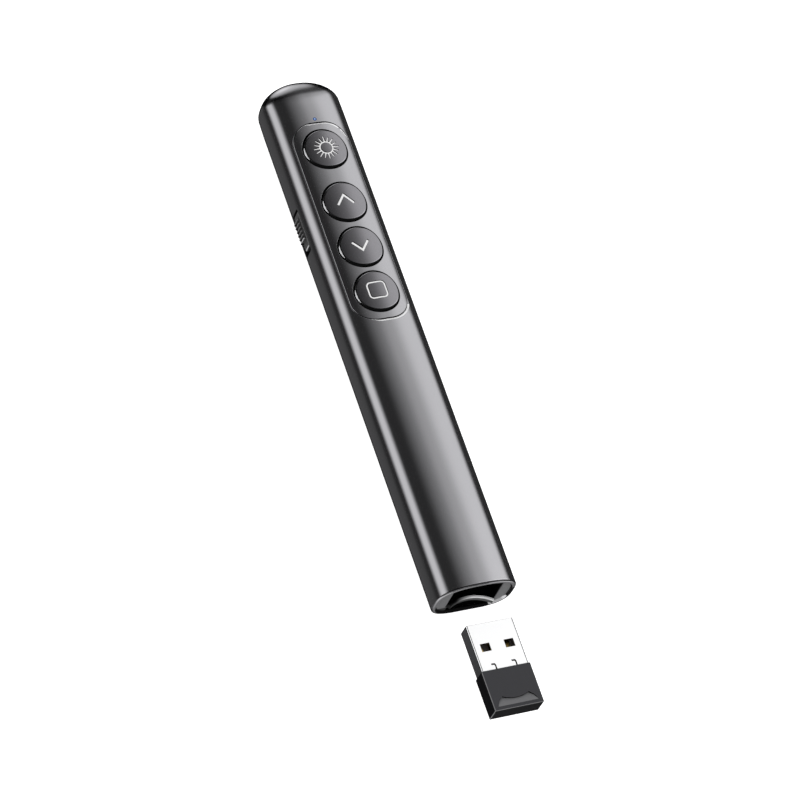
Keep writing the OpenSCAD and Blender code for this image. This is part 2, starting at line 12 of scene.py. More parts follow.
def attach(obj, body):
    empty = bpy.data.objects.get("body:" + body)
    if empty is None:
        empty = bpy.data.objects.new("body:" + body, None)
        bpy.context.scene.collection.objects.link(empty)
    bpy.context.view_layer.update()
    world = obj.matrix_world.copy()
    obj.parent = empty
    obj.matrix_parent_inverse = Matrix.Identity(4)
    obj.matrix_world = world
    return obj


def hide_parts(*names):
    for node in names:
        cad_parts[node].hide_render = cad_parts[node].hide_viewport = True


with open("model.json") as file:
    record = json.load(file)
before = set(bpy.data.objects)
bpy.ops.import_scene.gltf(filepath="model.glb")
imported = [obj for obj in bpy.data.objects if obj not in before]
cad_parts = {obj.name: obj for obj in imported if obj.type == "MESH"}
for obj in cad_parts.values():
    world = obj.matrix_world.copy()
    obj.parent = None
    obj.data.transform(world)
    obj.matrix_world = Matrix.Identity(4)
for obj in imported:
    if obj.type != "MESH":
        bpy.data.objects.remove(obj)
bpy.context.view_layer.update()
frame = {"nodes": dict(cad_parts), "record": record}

# ---- Sizes, in millimetres, mostly those of the CAD source ----

MM = 0.001
TAIL_Y = -57.05
HALF_WIDTH = 10.4
WIDE_Z = 7.3
CROWN = 7.0
BELLY = 7.4
CROWN_POWER = 2.56
BELLY_POWER = 3.28
CROWN_Z = WIDE_Z + CROWN
BODY_LENGTH = 144.1
HEAD_WIDTH_ROUND = 6.1
HEAD_WIDTH_POWER = 2.14
HEAD_THICK_ROUND = 20.1
HEAD_THICK_POWER = 4.33
TIP_LIMIT = 0.0004
WALL = 1.2
TAIL_BEVEL = 0.52
UPPER_BEVEL, LOWER_BEVEL = 0.2, 0.5

PANEL_START = 72.65
PANEL_STOP = 129.8
PANEL_HALF = 7.5
PANEL_CORNER = 6.0
PANEL_GAP = 0.15
PANEL_BOTTOM = 12.3
CHAMFER_NARROW, CHAMFER_SPREAD = 0.06, 0.46
CHAMFER_SLOPE, CHAMFER_EASE = 0.5, 0.8
BRIGHT_FROM_X = -3.6
WALL_DEPTH = 1.2
HOLE_EDGE, SMALL_EDGE = 0.09, 0.05
BUTTON_Y = {"blank": 80.35, "down": 93.15, "up": 106.2, "laser": 121.8}
CAP_R = 5.66
HOLE_R = 5.88
CAP_TOP = 14.75
CAP_EDGE = (0.40, 0.75)
CAP_HOLE_EDGE = 0.08
# Where a cap's rounded edge carries its painted glint.
GLINT_AT, GLINT_SPAN = 184.0, 22.0
GLINT_TILT, GLINT_WIDTH = 35.0, 13.0
CAP_BEND = 19.4
CAP_LEAN = 0.035
FLANGE_R = 6.2
FLANGE_LOW = 11.55
FLANGE_HIGH = 12.15
BOSS_LOW = 11.05
ICON_CUT = 1.1
ICON_LINE = 0.54
ICON_DEPTH = 0.06
ICON_SHADOW = (0.15, 0.13)

SLOT_TAIL, SLOT_HEAD = 97.4, 109.2
SLOT_Z, SLOT_HALF = 6.7, 2.0
DOOR_START, DOOR_END, DOOR_HALF, DOOR_CORNER = 26.5, 74.2, 6.2, 1.2
LED_Y, LED_HOLE_R = 130.8, 0.45
KNOB_TAIL, KNOB_HEAD, KNOB_HALF = 99.0, 108.7, 1.8
KNOB_RIB, KNOB_RIBS, KNOB_BASE = 0.75, 6, -9.0
KNOB_FLANGE = (8.75, 8.15)
KNOB_SINK = 0.1
KNOB_FIRST_RIB, KNOB_PITCH = 2.3, 1.08
APERTURE_R = 1.65

RECEIVER_Z = 8.07
SHELL_FRONT, SHELL_BACK, CAP_BACK = -7.9, -19.8, -30.0
SHELL_HALF_X, SHELL_HALF_Z, SHELL_SHEET = 6.0, 2.25, 0.3
CAP_HALF_X, CAP_HALF_Z = 6.25, 2.45
GRIP_START, GRIP_END = 0.9, 3.25
WINDOW_X, WINDOW_Y, WINDOW_HALF = 3.05, -14.07, (1.2, 1.02)
LATCH_SLITS = (-2.25, 2.95)
MOUTH_FLOOR = 3.4
SCOOP_R, SCOOP_Y = 10.9, -8.7
TRIM_R, TRIM_X, TRIM_Y = SCOOP_R - 0.65, -0.4, SCOOP_Y - 0.4

# ---- Places in a piece's list of materials ----

# Beside the metal, a piece may carry a painted highlight, black painted as shade, and a painted
# glint.
METAL, HIGHLIGHT_PAINT, SHADE_PAINT, GLINT_PAINT = range(4)

# ---- Camera, in millimetres and unit vectors of the row frame ----

CAMERA_AT = (-305.69, -332.88, 683.88)
CAMERA_RIGHT = (0.91438, -0.30934, 0.26117)
CAMERA_UP = (0.15173, 0.85993, 0.48733)
CAMERA_LENS = 151.9
SENSOR = 36.0


# ---- Node graphs ----

GRAIN_DEPTH = 0.00002


class Graph:
    """Adds nodes to a node tree. An input is a plain value or another node's socket."""

    def __init__(self, tree, clear=True):
        self.tree = tree
        if clear:
            tree.nodes.clear()

    def add(self, kind, inputs=None, **settings):
        made = self.tree.nodes.new(kind)
        for key, value in settings.items():
            setattr(made, key, value)
        for key, value in (inputs or {}).items():
            self.feed(made.inputs[key], value)
        return made

    def feed(self, socket, value):
        if isinstance(value, bpy.types.NodeSocket):
            self.tree.links.new(value, socket)
        else:
            socket.default_value = value

    def math(self, operation, a, b=0.0):
        return self.add("ShaderNodeMath", {0: a, 1: b}, operation=operation).outputs[0]

    def smooth(self, value, start, end, low=0.0, high=1.0):
        """A smooth step from low to high as the value goes from start to end."""
        made = self.add("ShaderNodeMapRange", {"Value": value, "From Min": start, "From Max": end,
                                               "To Min": low, "To Max": high},
                        interpolation_type="SMOOTHSTEP")
        return made.outputs["Result"]

    def box(self, value, start, full, end_full, end):
        """Rises from start to full, and falls from end_full to end."""
        return self.math("MULTIPLY", self.smooth(value, start, full),
                         self.smooth(value, end_full, end, 1.0, 0.0))

    def blend(self, share, low, high):
        """A colour between low and high."""
        made = self.add("ShaderNodeMix", {"Factor": share}, data_type="RGBA")
        sockets = [s for s in made.inputs if s.type == "RGBA"]
        for socket, colour in zip(sockets, (low, high)):
            socket.default_value = tuple(colour) + (1.0,)
        return [s for s in made.outputs if s.type == "RGBA"][0]


def finish_of(name, colour, metallic=0.0, roughness=0.4, spread=0.05, tone=0.06, grain=900.0,
              bump=0.02, emission=None, specular=0.5, transmission=0.0):
    """A material with a fine procedural grain in its colour, roughness and surface."""
    material = bpy.data.materials.new(name)
    material.use_nodes = True
    graph = Graph(material.node_tree)
    place = graph.add("ShaderNodeTexCoord").outputs["Object"]
    fine = graph.add("ShaderNodeTexNoise", {"Vector": place, "Scale": grain, "Detail": 3.0,
                                            "Roughness": 0.6}).outputs["Fac"]
    broad = graph.add("ShaderNodeTexNoise", {"Vector": place, "Scale": grain / 30.0, "Detail": 2.0,
                                             "Roughness": 0.5}).outputs["Fac"]
    both = graph.math("MULTIPLY_ADD", fine, 0.6)
    graph.feed(both.node.inputs[2], graph.math("MULTIPLY", broad, 0.4))
    painted = graph.blend(both, [c * (1.0 - tone) for c in colour],
                          [min(c * (1.0 + tone), 1.0) for c in colour])
    rough = graph.add("ShaderNodeMapRange", {"Value": both, "From Min": 0.3, "From Max": 0.7,
                                             "To Min": max(roughness - spread, 0.0),
                                             "To Max": roughness + spread}).outputs["Result"]
    raised = graph.add("ShaderNodeBump", {"Strength": bump, "Distance": GRAIN_DEPTH,
                                          "Height": fine})
    shader = graph.add("ShaderNodeBsdfPrincipled", {
        "Base Color": painted, "Metallic": metallic, "Roughness": rough,
        "Normal": raised.outputs["Normal"], "Specular IOR Level": specular,
        "Transmission Weight": transmission})
    if emission:
        shader.inputs["Emission Color"].default_value = tuple(emission[0]) + (1.0,)
        shader.inputs["Emission Strength"].default_value = emission[1]
    graph.add("ShaderNodeOutputMaterial", {"Surface": shader.outputs[0]})
    return material


# ---- Mesh tools ----

def new_mesh(name, points, faces, smooth=True):
    """An object from points in millimetres, with repeated points joined."""
    mesh = bpy.data.meshes.new(name)
    mesh.from_pydata([Vector(p) * MM for p in points], [], faces)
    work = bmesh.new()
    work.from_mesh(mesh)
    bmesh.ops.remove_doubles(work, verts=work.verts, dist=2e-7)
    bmesh.ops.dissolve_degenerate(work, edges=work.edges, dist=1e-8)
    bmesh.ops.recalc_face_normals(work, faces=work.faces)
    work.to_mesh(mesh)
    work.free()
    mesh.polygons.foreach_set("use_smooth", [smooth] * len(mesh.polygons))
    piece = bpy.data.objects.new(name, mesh)
    bpy.context.scene.collection.objects.link(piece)
    return piece


def loft(name, rings, cap_start=True, cap_end=True, around=False):
    """Quads between equal rings of points; around joins the last ring to the first."""
    count = len(rings[0])
    points = [p for ring in rings for p in ring]
    faces = []
    pairs = len(rings) if around else len(rings) - 1
    for k in range(pairs):
        n = (k + 1) % len(rings)
        for i in range(count):
            j = (i + 1) % count
            faces.append((k * count + i, k * count + j, n * count + j, n * count + i))
    if cap_start and not around:
        faces.append(tuple(reversed(range(count))))
    if cap_end and not around:
        faces.append(tuple(range((len(rings) - 1) * count, len(rings) * count)))
    return new_mesh(name, points, faces)


def join(target, *others):
    """Adds the others' meshes to the target's, without joining their points."""
    work = bmesh.new()
    work.from_mesh(target.data)
    for other in others:
        work.from_mesh(other.data)
        bpy.data.objects.remove(other)
    work.to_mesh(target.data)
    work.free()
    return target


def combine(piece, tool, operation="DIFFERENCE"):
    """Cuts the tool out of the piece, or keeps only what they share."""
    change = piece.modifiers.new("combine", "BOOLEAN")
    change.operation = operation
    change.solver = "EXACT"
    change.use_self = True
    change.object = tool
    graph = bpy.context.evaluated_depsgraph_get()
    mesh = bpy.data.meshes.new_from_object(piece.evaluated_get(graph))
    piece.modifiers.clear()
    piece.data = mesh
    bpy.data.objects.remove(tool)
    return piece


def shade_flat(piece):
    piece.data.polygons.foreach_set("use_smooth", [False] * len(piece.data.polygons))


def set_shading(piece, normal_at, angle=32.0):
    """Sharp edges above the angle, and exact normals where normal_at gives them."""
    mesh = piece.data
    mesh.polygons.foreach_set("use_smooth", [True] * len(mesh.polygons))
    mesh.set_sharp_from_angle(angle=math.radians(angle))
    if normal_at is None:
        return
    points = np.empty(len(mesh.vertices) * 3)
    mesh.vertices.foreach_get("co", points)
    points = points.reshape(-1, 3) / MM
    wanted, known = normal_at(points)
    normals = np.zeros((len(mesh.loops), 3))
    for face in mesh.polygons:
        corners = list(face.vertices)
        if known[corners].all() and Vector(wanted[corners].mean(0)).dot(face.normal) > 0.93:
            normals[face.loop_start:face.loop_start + face.loop_total] = wanted[corners]
    mesh.normals_split_custom_set([tuple(n) for n in normals])


def paint(piece, index_of):
    """Gives each face the material that index_of picks from its centre (mm) and its normal."""
    for face in piece.data.polygons:
        picked = index_of(face.center / MM, face.normal)
        if picked is not None:
            face.material_index = picked


def dress(piece, body, slot, material, *nodes):
    """Gives a piece its materials and its body, and hides the nodes that it stands for; the slot is
    not used.
    """
    for each in material if isinstance(material, tuple) else (material,):
        piece.data.materials.append(each)
    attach(piece, body)
    if nodes:
        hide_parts(*nodes)
    return piece


# ---- The body's form ----

def lobe(c, power):
    return np.sign(c) * np.abs(c) ** (2.0 / power)


def rounding(past, length, power):
    """How much the head has shrunk at a distance past its tip, which is negative on the body."""
    share = np.clip((np.asarray(past, float) + length) / length, 0.0, 1.0)
    return np.maximum(1.0 - share ** power, TIP_LIMIT) ** (1.0 / power)


def head_scales(y, inset=0.0, tip=BODY_LENGTH):
    """How much the head's width and its thickness have shrunk at y, counted from the tail."""
    return (rounding(y - tip, HEAD_WIDTH_ROUND - inset, HEAD_WIDTH_POWER),
            rounding(y - tip, HEAD_THICK_ROUND - inset, HEAD_THICK_POWER))


def bulge(share, power):
    return (1.0 - share ** power) ** (1.0 / power)


def section(angles, inset=0.0, scale_x=1.0, scale_z=1.0):
    """The cross-section of the body, moved inwards by inset."""
    cosine, sine = np.cos(angles), np.sin(angles)
    up = sine >= 0
    power = np.where(up, CROWN_POWER, BELLY_POWER)
    reach = np.where(up, CROWN, BELLY) - inset
    x = (HALF_WIDTH - inset) * lobe(cosine, power) * scale_x
    z = WIDE_Z + np.maximum(reach * lobe(sine, power) * scale_z, -(WIDE_Z - inset))
    return x, z


def even_angles(start, end, count):
    """Angles at which the section's points are spread evenly by length and by turning."""
    fine = np.linspace(start, end, 8001)
    x, z = section(fine)
    dx, dz = np.diff(x), np.diff(z)
    turn = np.abs(np.diff(np.unwrap(np.arctan2(dz, dx))))
    weight = np.hypot(dx, dz) / 0.8
    weight[1:] += turn / math.radians(2.0)
    run = np.concatenate([[0.0], np.cumsum(weight)])
    return np.interp(np.linspace(0.0, run[-1], count + 1)[:-1], run, fine)


SECTION = np.concatenate([even_angles(0.0, math.pi, 120), even_angles(math.pi, 2 * math.pi, 100)])


def ring_at(y, inset=0.0, tip=BODY_LENGTH):
    wide, thick = head_scales(y, inset, tip)
    x, z = section(SECTION, inset, wide, thick)
    return [(a, y + TAIL_Y, b) for a, b in zip(x, z)]


def crown_at(x, y):
    """Height of the button side at a place; y counts from the tail."""
    wide, thick = head_scales(y)
    share = np.minimum(np.abs(x) / (HALF_WIDTH * wide), 1.0)
    return WIDE_Z + CROWN * thick * bulge(share, CROWN_POWER)


def crown_point(a, b, drop=0.0):
    """A place of the button side, or one that lies a drop below it; b counts from the tail."""
    return (a, b + TAIL_Y, float(crown_at(a, b)) - drop)


def belly_at(x):
    """Height of the back at a place along the body's straight part."""
    share = np.minimum(np.abs(x) / HALF_WIDTH, 1.0)
    return np.maximum(WIDE_Z - BELLY * bulge(share, BELLY_POWER), 0.0)


def side_at(z):
    """Half width of the body at a height along its straight part."""
    up = z >= WIDE_Z
    power = np.where(up, CROWN_POWER, BELLY_POWER)
    share = np.minimum(np.abs(z - WIDE_Z) / np.where(up, CROWN, BELLY), 1.0)
    return HALF_WIDTH * bulge(share, power)


def body_normals(points):
    """Exact normals of the body's outer face, and which points lie on that face."""
    x, y, z = points[:, 0], points[:, 1] - TAIL_Y, points[:, 2] - WIDE_Z
    wide, thick = head_scales(y)
    up = z >= 0
    power = np.where(up, CROWN_POWER, BELLY_POWER)
    reach = np.where(up, CROWN, BELLY)
    tail = np.clip((TAIL_BEVEL - y) / TAIL_BEVEL, 0.0, 1.0)
    inset = TAIL_BEVEL * (1.0 - np.sqrt(1.0 - tail ** 2))
    across = np.abs(x) / ((HALF_WIDTH - inset) * wide)
    along = np.abs(z) / ((reach - inset) * thick)
    resting = points[:, 2] < 0.0005
    value = across ** power + along ** power
    known = (np.abs(value - 1.0) < 0.004) | (resting & (y > TAIL_BEVEL / 2))

    def slope(length, p):
        share = np.clip((y - BODY_LENGTH + length) / length, 0.0, 1.0)
        return share ** (p - 1.0) / (length * np.maximum(1.0 - share ** p, TIP_LIMIT))

    nx = np.sign(x) * across ** (power - 1.0) / (HALF_WIDTH * wide)
    nz = np.sign(z) * along ** (power - 1.0) / (reach * thick)
    ny = (across ** power * slope(HEAD_WIDTH_ROUND, HEAD_WIDTH_POWER)
          + along ** power * slope(HEAD_THICK_ROUND, HEAD_THICK_POWER))
    normals = np.stack([nx, ny, nz], 1)
    normals[resting] = (0.0, 0.0, -1.0)
    normals /= np.maximum(np.linalg.norm(normals, axis=1, keepdims=True), 1e-12)
    normals *= np.sqrt(1.0 - tail ** 2)[:, None]
    normals[:, 1] -= tail
    return normals, known


# ---- Outlines and edges ----

def rounded_outline(centre, half, corner, grow=0.0, corner_steps=16, side_steps=(12, 14)):
    """A rounded rectangle's points, in a fixed number, moved outwards by grow."""
    half_x, half_y = half[0] + grow, half[1] + grow
    radius = min(max(corner + grow, 0.0), half_x, half_y)
    points = []
    corners = [(1, -1, -90), (1, 1, 0), (-1, 1, 90), (-1, -1, 180)]
    for k, (sx, sy, start) in enumerate(corners):
        middle = (centre[0] + sx * (half_x - radius), centre[1] + sy * (half_y - radius))
        for i in range(corner_steps + 1):
            a = math.radians(start + 90.0 * i / corner_steps)
            points.append((middle[0] + radius * math.cos(a), middle[1] + radius * math.sin(a)))
        after = corners[(k + 1) % 4]
        goal = (centre[0] + after[0] * (half_x - radius), centre[1] + after[1] * (half_y - radius))
        a = math.radians(after[2])
        goal = (goal[0] + radius * math.cos(a), goal[1] + radius * math.sin(a))
        here = points[-1]
        steps = side_steps[1] if k % 2 == 0 else side_steps[0]
        for i in range(1, steps):
            t = i / steps
            points.append((here[0] + (goal[0] - here[0]) * t, here[1] + (goal[1] - here[1]) * t))
    return points


def circle_outline(centre, radius, grow=0.0, count=96):
    return [(centre[0] + (radius + grow) * math.cos(2 * math.pi * i / count),
             centre[1] + (radius + grow) * math.sin(2 * math.pi * i / count))
            for i in range(count)]


def rim(outline, lift, sink, radius, depth, steps=5):
    """A small rounded edge around a hole, from the surface down into the hole's wall."""
    outer = [Vector(lift(*p)) for p in outline(radius)]
    edge = [Vector(lift(*p)) for p in outline(0.0)]
    sink = Vector(sink)
    rings = []
    for i in range(steps + 1):
        t = i / steps
        rings.append([a * (1 - t) ** 2 + b * 2 * t * (1 - t) + (b + sink * radius) * t ** 2
                      for a, b in zip(outer, edge)])
    rings.append([b + sink * depth for b in edge])
    return loft("rim", rings, False, False)


def prism(outline, place, low, high):
    """A cutter: an outline swept between two places along its own axis."""
    return loft("cutter", [[place(a, b, low) for a, b in outline],
                           [place(a, b, high) for a, b in outline]])


def from_above(a, b, height):
    return (a, b + TAIL_Y, height)


def from_side(a, b, height):
    return (height, a + TAIL_Y, b)


def from_head(a, b, height):
    return (a, height + TAIL_Y, b)


def window_outline(grow):
    half = (PANEL_HALF, (PANEL_STOP - PANEL_START) / 2)
    return rounded_outline((0.0, (PANEL_START + PANEL_STOP) / 2), half, PANEL_CORNER, grow)


def slot_outline(grow):
    half = ((SLOT_HEAD - SLOT_TAIL) / 2, SLOT_HALF)
    return rounded_outline(((SLOT_HEAD + SLOT_TAIL) / 2, SLOT_Z), half, 0.35, grow, 6, (4, 10))


def door_outline(grow):
    half = (DOOR_HALF, (DOOR_END - DOOR_START) / 2)
    return rounded_outline((0.0, (DOOR_START + DOOR_END) / 2), half, DOOR_CORNER, grow, 8)


def led_outline(grow):
    return circle_outline((0.0, LED_Y), LED_HOLE_R, grow, 40)


def aperture_outline(grow):
    return circle_outline((0.0, WIDE_Z), APERTURE_R, grow, 64)


def graded(outline, width_at):
    """The outline moved outwards at each point by a width that depends on its direction there."""
    moved = []
    for p, q in zip(outline(0.0), outline(1.0)):
        direction = Vector((q[0] - p[0], q[1] - p[1])).normalized()
        moved.append(tuple(Vector(p) + direction * width_at(direction)))
    return moved


def ease(share):
    """A smooth step from 0 to 1."""
    share = min(max(share, 0.0), 1.0)
    return share * share * (3 - 2 * share)


def end_width(facing, side):
    """Width of a chamfer painted bright as a highlight: narrow along the sides, wide at the end
    that it faces.
    """
    return CHAMFER_NARROW + CHAMFER_SPREAD * ease((facing - 0.1) / 0.35) * ease(side / 0.3 + 1)


# ---- Materials ----

DARK_METAL = ((0.330, 0.326, 0.336), 1.0, 0.14, 0.01, 0.02, 2600.0, 0.02)
gunmetal = finish_of("gunmetal", *DARK_METAL)
panel_metal = finish_of("panel_metal", *DARK_METAL)
# Painted highlight: a near-white colour for chamfers that catch the light.
painted_highlight = finish_of("painted_highlight", (0.88, 0.88, 0.89), 0.2, 0.25, 0.02, 0.02, 2600.0, 0.02)
cap_finish = finish_of("button_plastic", (0.205, 0.200, 0.210), 1.0, 0.16, 0.02, 0.04, 3000.0, 0.05)
icon_paint = finish_of("icon_paint", (0.86, 0.86, 0.86), 0.0, 0.5, 0.05, 0.03, 3000.0, 0.05)
black_plastic = finish_of("black_plastic", (0.006, 0.006, 0.0065), 0.0, 0.45)
# Painted shade: black for walls, gaps, flanks and edges where shade falls.
painted_shade = finish_of("painted_shade", (0.004, 0.004, 0.0042), 0.0, 0.6, specular=0.05)
# Painted glint: a pale colour for the light caught on rounded edges.
painted_glint = finish_of("painted_glint", (0.60, 0.60, 0.61), 0.4, 0.25)
# Painted shadow in the icons' grooves.
icon_painted_shadow = finish_of("icon_painted_shadow", (0.004, 0.004, 0.004), 0.0, 0.6, specular=0.05)
# Painted highlights on the slider's ribs and edges.
rib_painted_highlight = finish_of("rib_painted_highlight", (0.125, 0.125, 0.127), 0.0, 0.45, specular=0.2)
rib_painted_glint = finish_of("rib_painted_glint", (0.42, 0.42, 0.43), 0.0, 0.4, specular=0.2)
# Painted shade: grey lines along the shell's edges.
shell_painted_edge_shade = finish_of("shell_painted_edge_shade", (0.24, 0.24, 0.245), 0.0, 0.5, specular=0.1)
liner_plastic = finish_of("liner_plastic", (0.085, 0.085, 0.088), 0.0, 0.4)
# The scoop's edge is painted pale as a highlight and black as shade, further below.
scoop_trim = finish_of("scoop_trim", (0.42, 0.42, 0.43), 0.0, 0.35)
steel = finish_of("plug_steel", (0.96, 0.96, 0.96), 1.0, 0.12, 0.02, 0.01)
receiver_black = finish_of("cap_plastic", (0.048, 0.048, 0.052), 0.0, 0.5, specular=0.05)
# The receiver cap's sides are painted darker as shade, and its rounded edges lighter as a
# highlight.
receiver_painted_shade = finish_of("cap_painted_shade", (0.0035, 0.0035, 0.004), 0.0, 0.5, specular=0.03)
receiver_painted_highlight = finish_of("cap_edge", (0.17, 0.17, 0.174), 0.0, 0.5, specular=0.05)
# The grip is painted lighter than the cap, for the light on its slope.
grip_painted_light = finish_of("grip_painted_light", (0.145, 0.145, 0.15), 0.0, 0.5, specular=0.2)
# The shell's left side is painted darker as shade, and its top white as a highlight.
shell_painted_shade = finish_of("shell_painted_shade", (0.42, 0.42, 0.43), 1.0, 0.2)
shell_painted_highlight = finish_of("shell_painted_highlight", (0.99, 0.99, 0.99), 0.3, 0.22, tone=0.005)
slider_plastic = finish_of("slider_plastic", (0.050, 0.050, 0.051), 0.0, 0.45, specular=0.2)

# Colour, metallic and roughness of the pieces that stay as the CAD has them.
PLAIN = {
    "blue_light": ((0.010, 0.030, 0.10), 0.0, 0.2),
    "magnet_nickel": ((0.55, 0.54, 0.52), 1.0, 0.25),
    "plunger_plastic": ((0.60, 0.56, 0.48), 0.0, 0.45),
    "switch_plastic": ((0.02, 0.02, 0.021), 0.0, 0.5),
    "chip_resin": ((0.012, 0.012, 0.012), 0.0, 0.55),
    "contact_steel": ((0.62, 0.62, 0.63), 1.0, 0.25),
    "led_body": ((0.75, 0.78, 0.85), 0.0, 0.3),
    "cell_label": ((0.45, 0.20, 0.03), 0.3, 0.3),
    "black_wire": ((0.015, 0.015, 0.018), 0.0, 0.5),
    "red_wire": ((0.35, 0.02, 0.015), 0.0, 0.5),
    "door_plastic": ((0.20, 0.20, 0.21), 0.8, 0.35),
    "laser_brass": ((0.60, 0.40, 0.14), 1.0, 0.25),
    "window_glass": ((0.05, 0.012, 0.015), 0.0, 0.08, 0.02),
    "tongue_plastic": ((0.10, 0.085, 0.075), 0.0, 0.5),
    "gold_contact": ((0.50, 0.36, 0.12), 1.0, 0.3),
}
FINISHES = {
    **{name: finish_of(name, *values) for name, values in PLAIN.items()},
    "gunmetal": gunmetal, "panel_metal": panel_metal, "black_plastic": black_plastic,
    "liner_plastic": liner_plastic, "button_plastic": cap_finish, "plug_steel": steel,
    "cap_plastic": receiver_black, "slider_plastic": slider_plastic,
    "circuit_board": finish_of("circuit_board", (0.015, 0.12, 0.05), 0.0, 0.35, tone=0.2),
    "lens_glass": finish_of("lens_glass", (0.85, 0.95, 0.95), 0.0, 0.05, 0.01, transmission=1.0),
}


def shade_by_place(material, socket, share_at, low, high):
    """Feeds a socket a colour that goes from low to high by place, in mm of the row frame."""
    nodes = Graph(material.node_tree, clear=False)
    shader = [n for n in nodes.tree.nodes if n.type == "BSDF_PRINCIPLED"][0]
    place = nodes.add("ShaderNodeTexCoord").outputs["Object"]
    apart = nodes.add("ShaderNodeSeparateXYZ", {"Vector": place})
    scaled = [nodes.math("MULTIPLY", apart.outputs[axis], 1.0 / MM) for axis in "XYZ"]
    nodes.feed(shader.inputs[socket], nodes.blend(share_at(nodes, *scaled), low, high))
    return shader


# ---- Sleeve ----

def head_point(x, z):
    """The place on the rounded head at x and z."""
    low, high = BODY_LENGTH - HEAD_THICK_ROUND, BODY_LENGTH
    power = CROWN_POWER if z >= WIDE_Z else BELLY_POWER
    reach = CROWN if z >= WIDE_Z else BELLY
    for _ in range(40):
        y = (low + high) / 2
        wide, thick = head_scales(y)
        inside = (abs(x) / (HALF_WIDTH * wide)) ** power + (abs(z - WIDE_Z)
                                                            / (reach * thick)) ** power < 1.0
        low, high = (y, high) if inside else (low, y)
    return (x, low + TAIL_Y, z)


def tail_ring(depth, inset):
    """A ring inside the tail; depth and inset may differ along the section."""
    x, z = section(SECTION, inset)
    return [(a, y + TAIL_Y, b) for a, y, b in zip(x, np.broadcast_to(depth, x.shape), z)]


def opening_width(direction):
    return end_width(-direction.y, direction.x)


def opening_tone(p, n):
    """The chamfer is painted bright at the tail end as a highlight, except at its left."""
    at_end = abs(n.y) > 0.1 and p.y - TAIL_Y < PANEL_START + PANEL_CORNER
    return HIGHLIGHT_PAINT if at_end and p.x > BRIGHT_FROM_X else METAL


def chamfer_rim():
    """The chamfer round the panel's opening, painted bright at the tail end as a highlight, and the
    wall below it, painted black as shade.
    """
    outer = [crown_point(a, b) for a, b in graded(window_outline, opening_width)]
    edge = [crown_point(a, b, CHAMFER_SLOPE * math.dist((a, b + TAIL_Y), p[:2]))
            for (a, b), p in zip(window_outline(0.0), outer)]
    top = loft("rim", [outer, edge], False, False)
    paint(top, opening_tone)
    wall = loft("rim", [edge, [(a, b, c - WALL_DEPTH) for a, b, c in edge]], False, False)
    # The wall is painted black as shade.
    paint(wall, lambda p, n: SHADE_PAINT)
    return [top, wall]


def tail_tone(p, n):
    """The end ring is painted pale at its lower right as a highlight, and painted black as shade
    below and where the liner leaves a gap.
    """
    half_x, half_z = HALF_WIDTH - TAIL_BEVEL, CROWN - TAIL_BEVEL
    gap_x, gap_low, gap_high = 8.6, 4.3, 8.8
    outwards = math.hypot(p.x / (half_x + 0.08), (p.z - WIDE_Z) / (half_z + 0.08))
    if p.y > TAIL_Y + 0.7 or n.y > -0.3 or outwards > 1.25:
        return None
    if p.x > 5.6 and p.z < gap_low:
        return GLINT_PAINT if n.y > -0.9 else SHADE_PAINT
    faces_in = n.x * p.x + n.z * (p.z - WIDE_Z) < -1.0
    at_gap = gap_x < p.x < half_x and gap_low < p.z < gap_high
    below = p.x < 5.5 and TAIL_BEVEL < p.z < 2.2
    return SHADE_PAINT if faces_in or at_gap or below else None


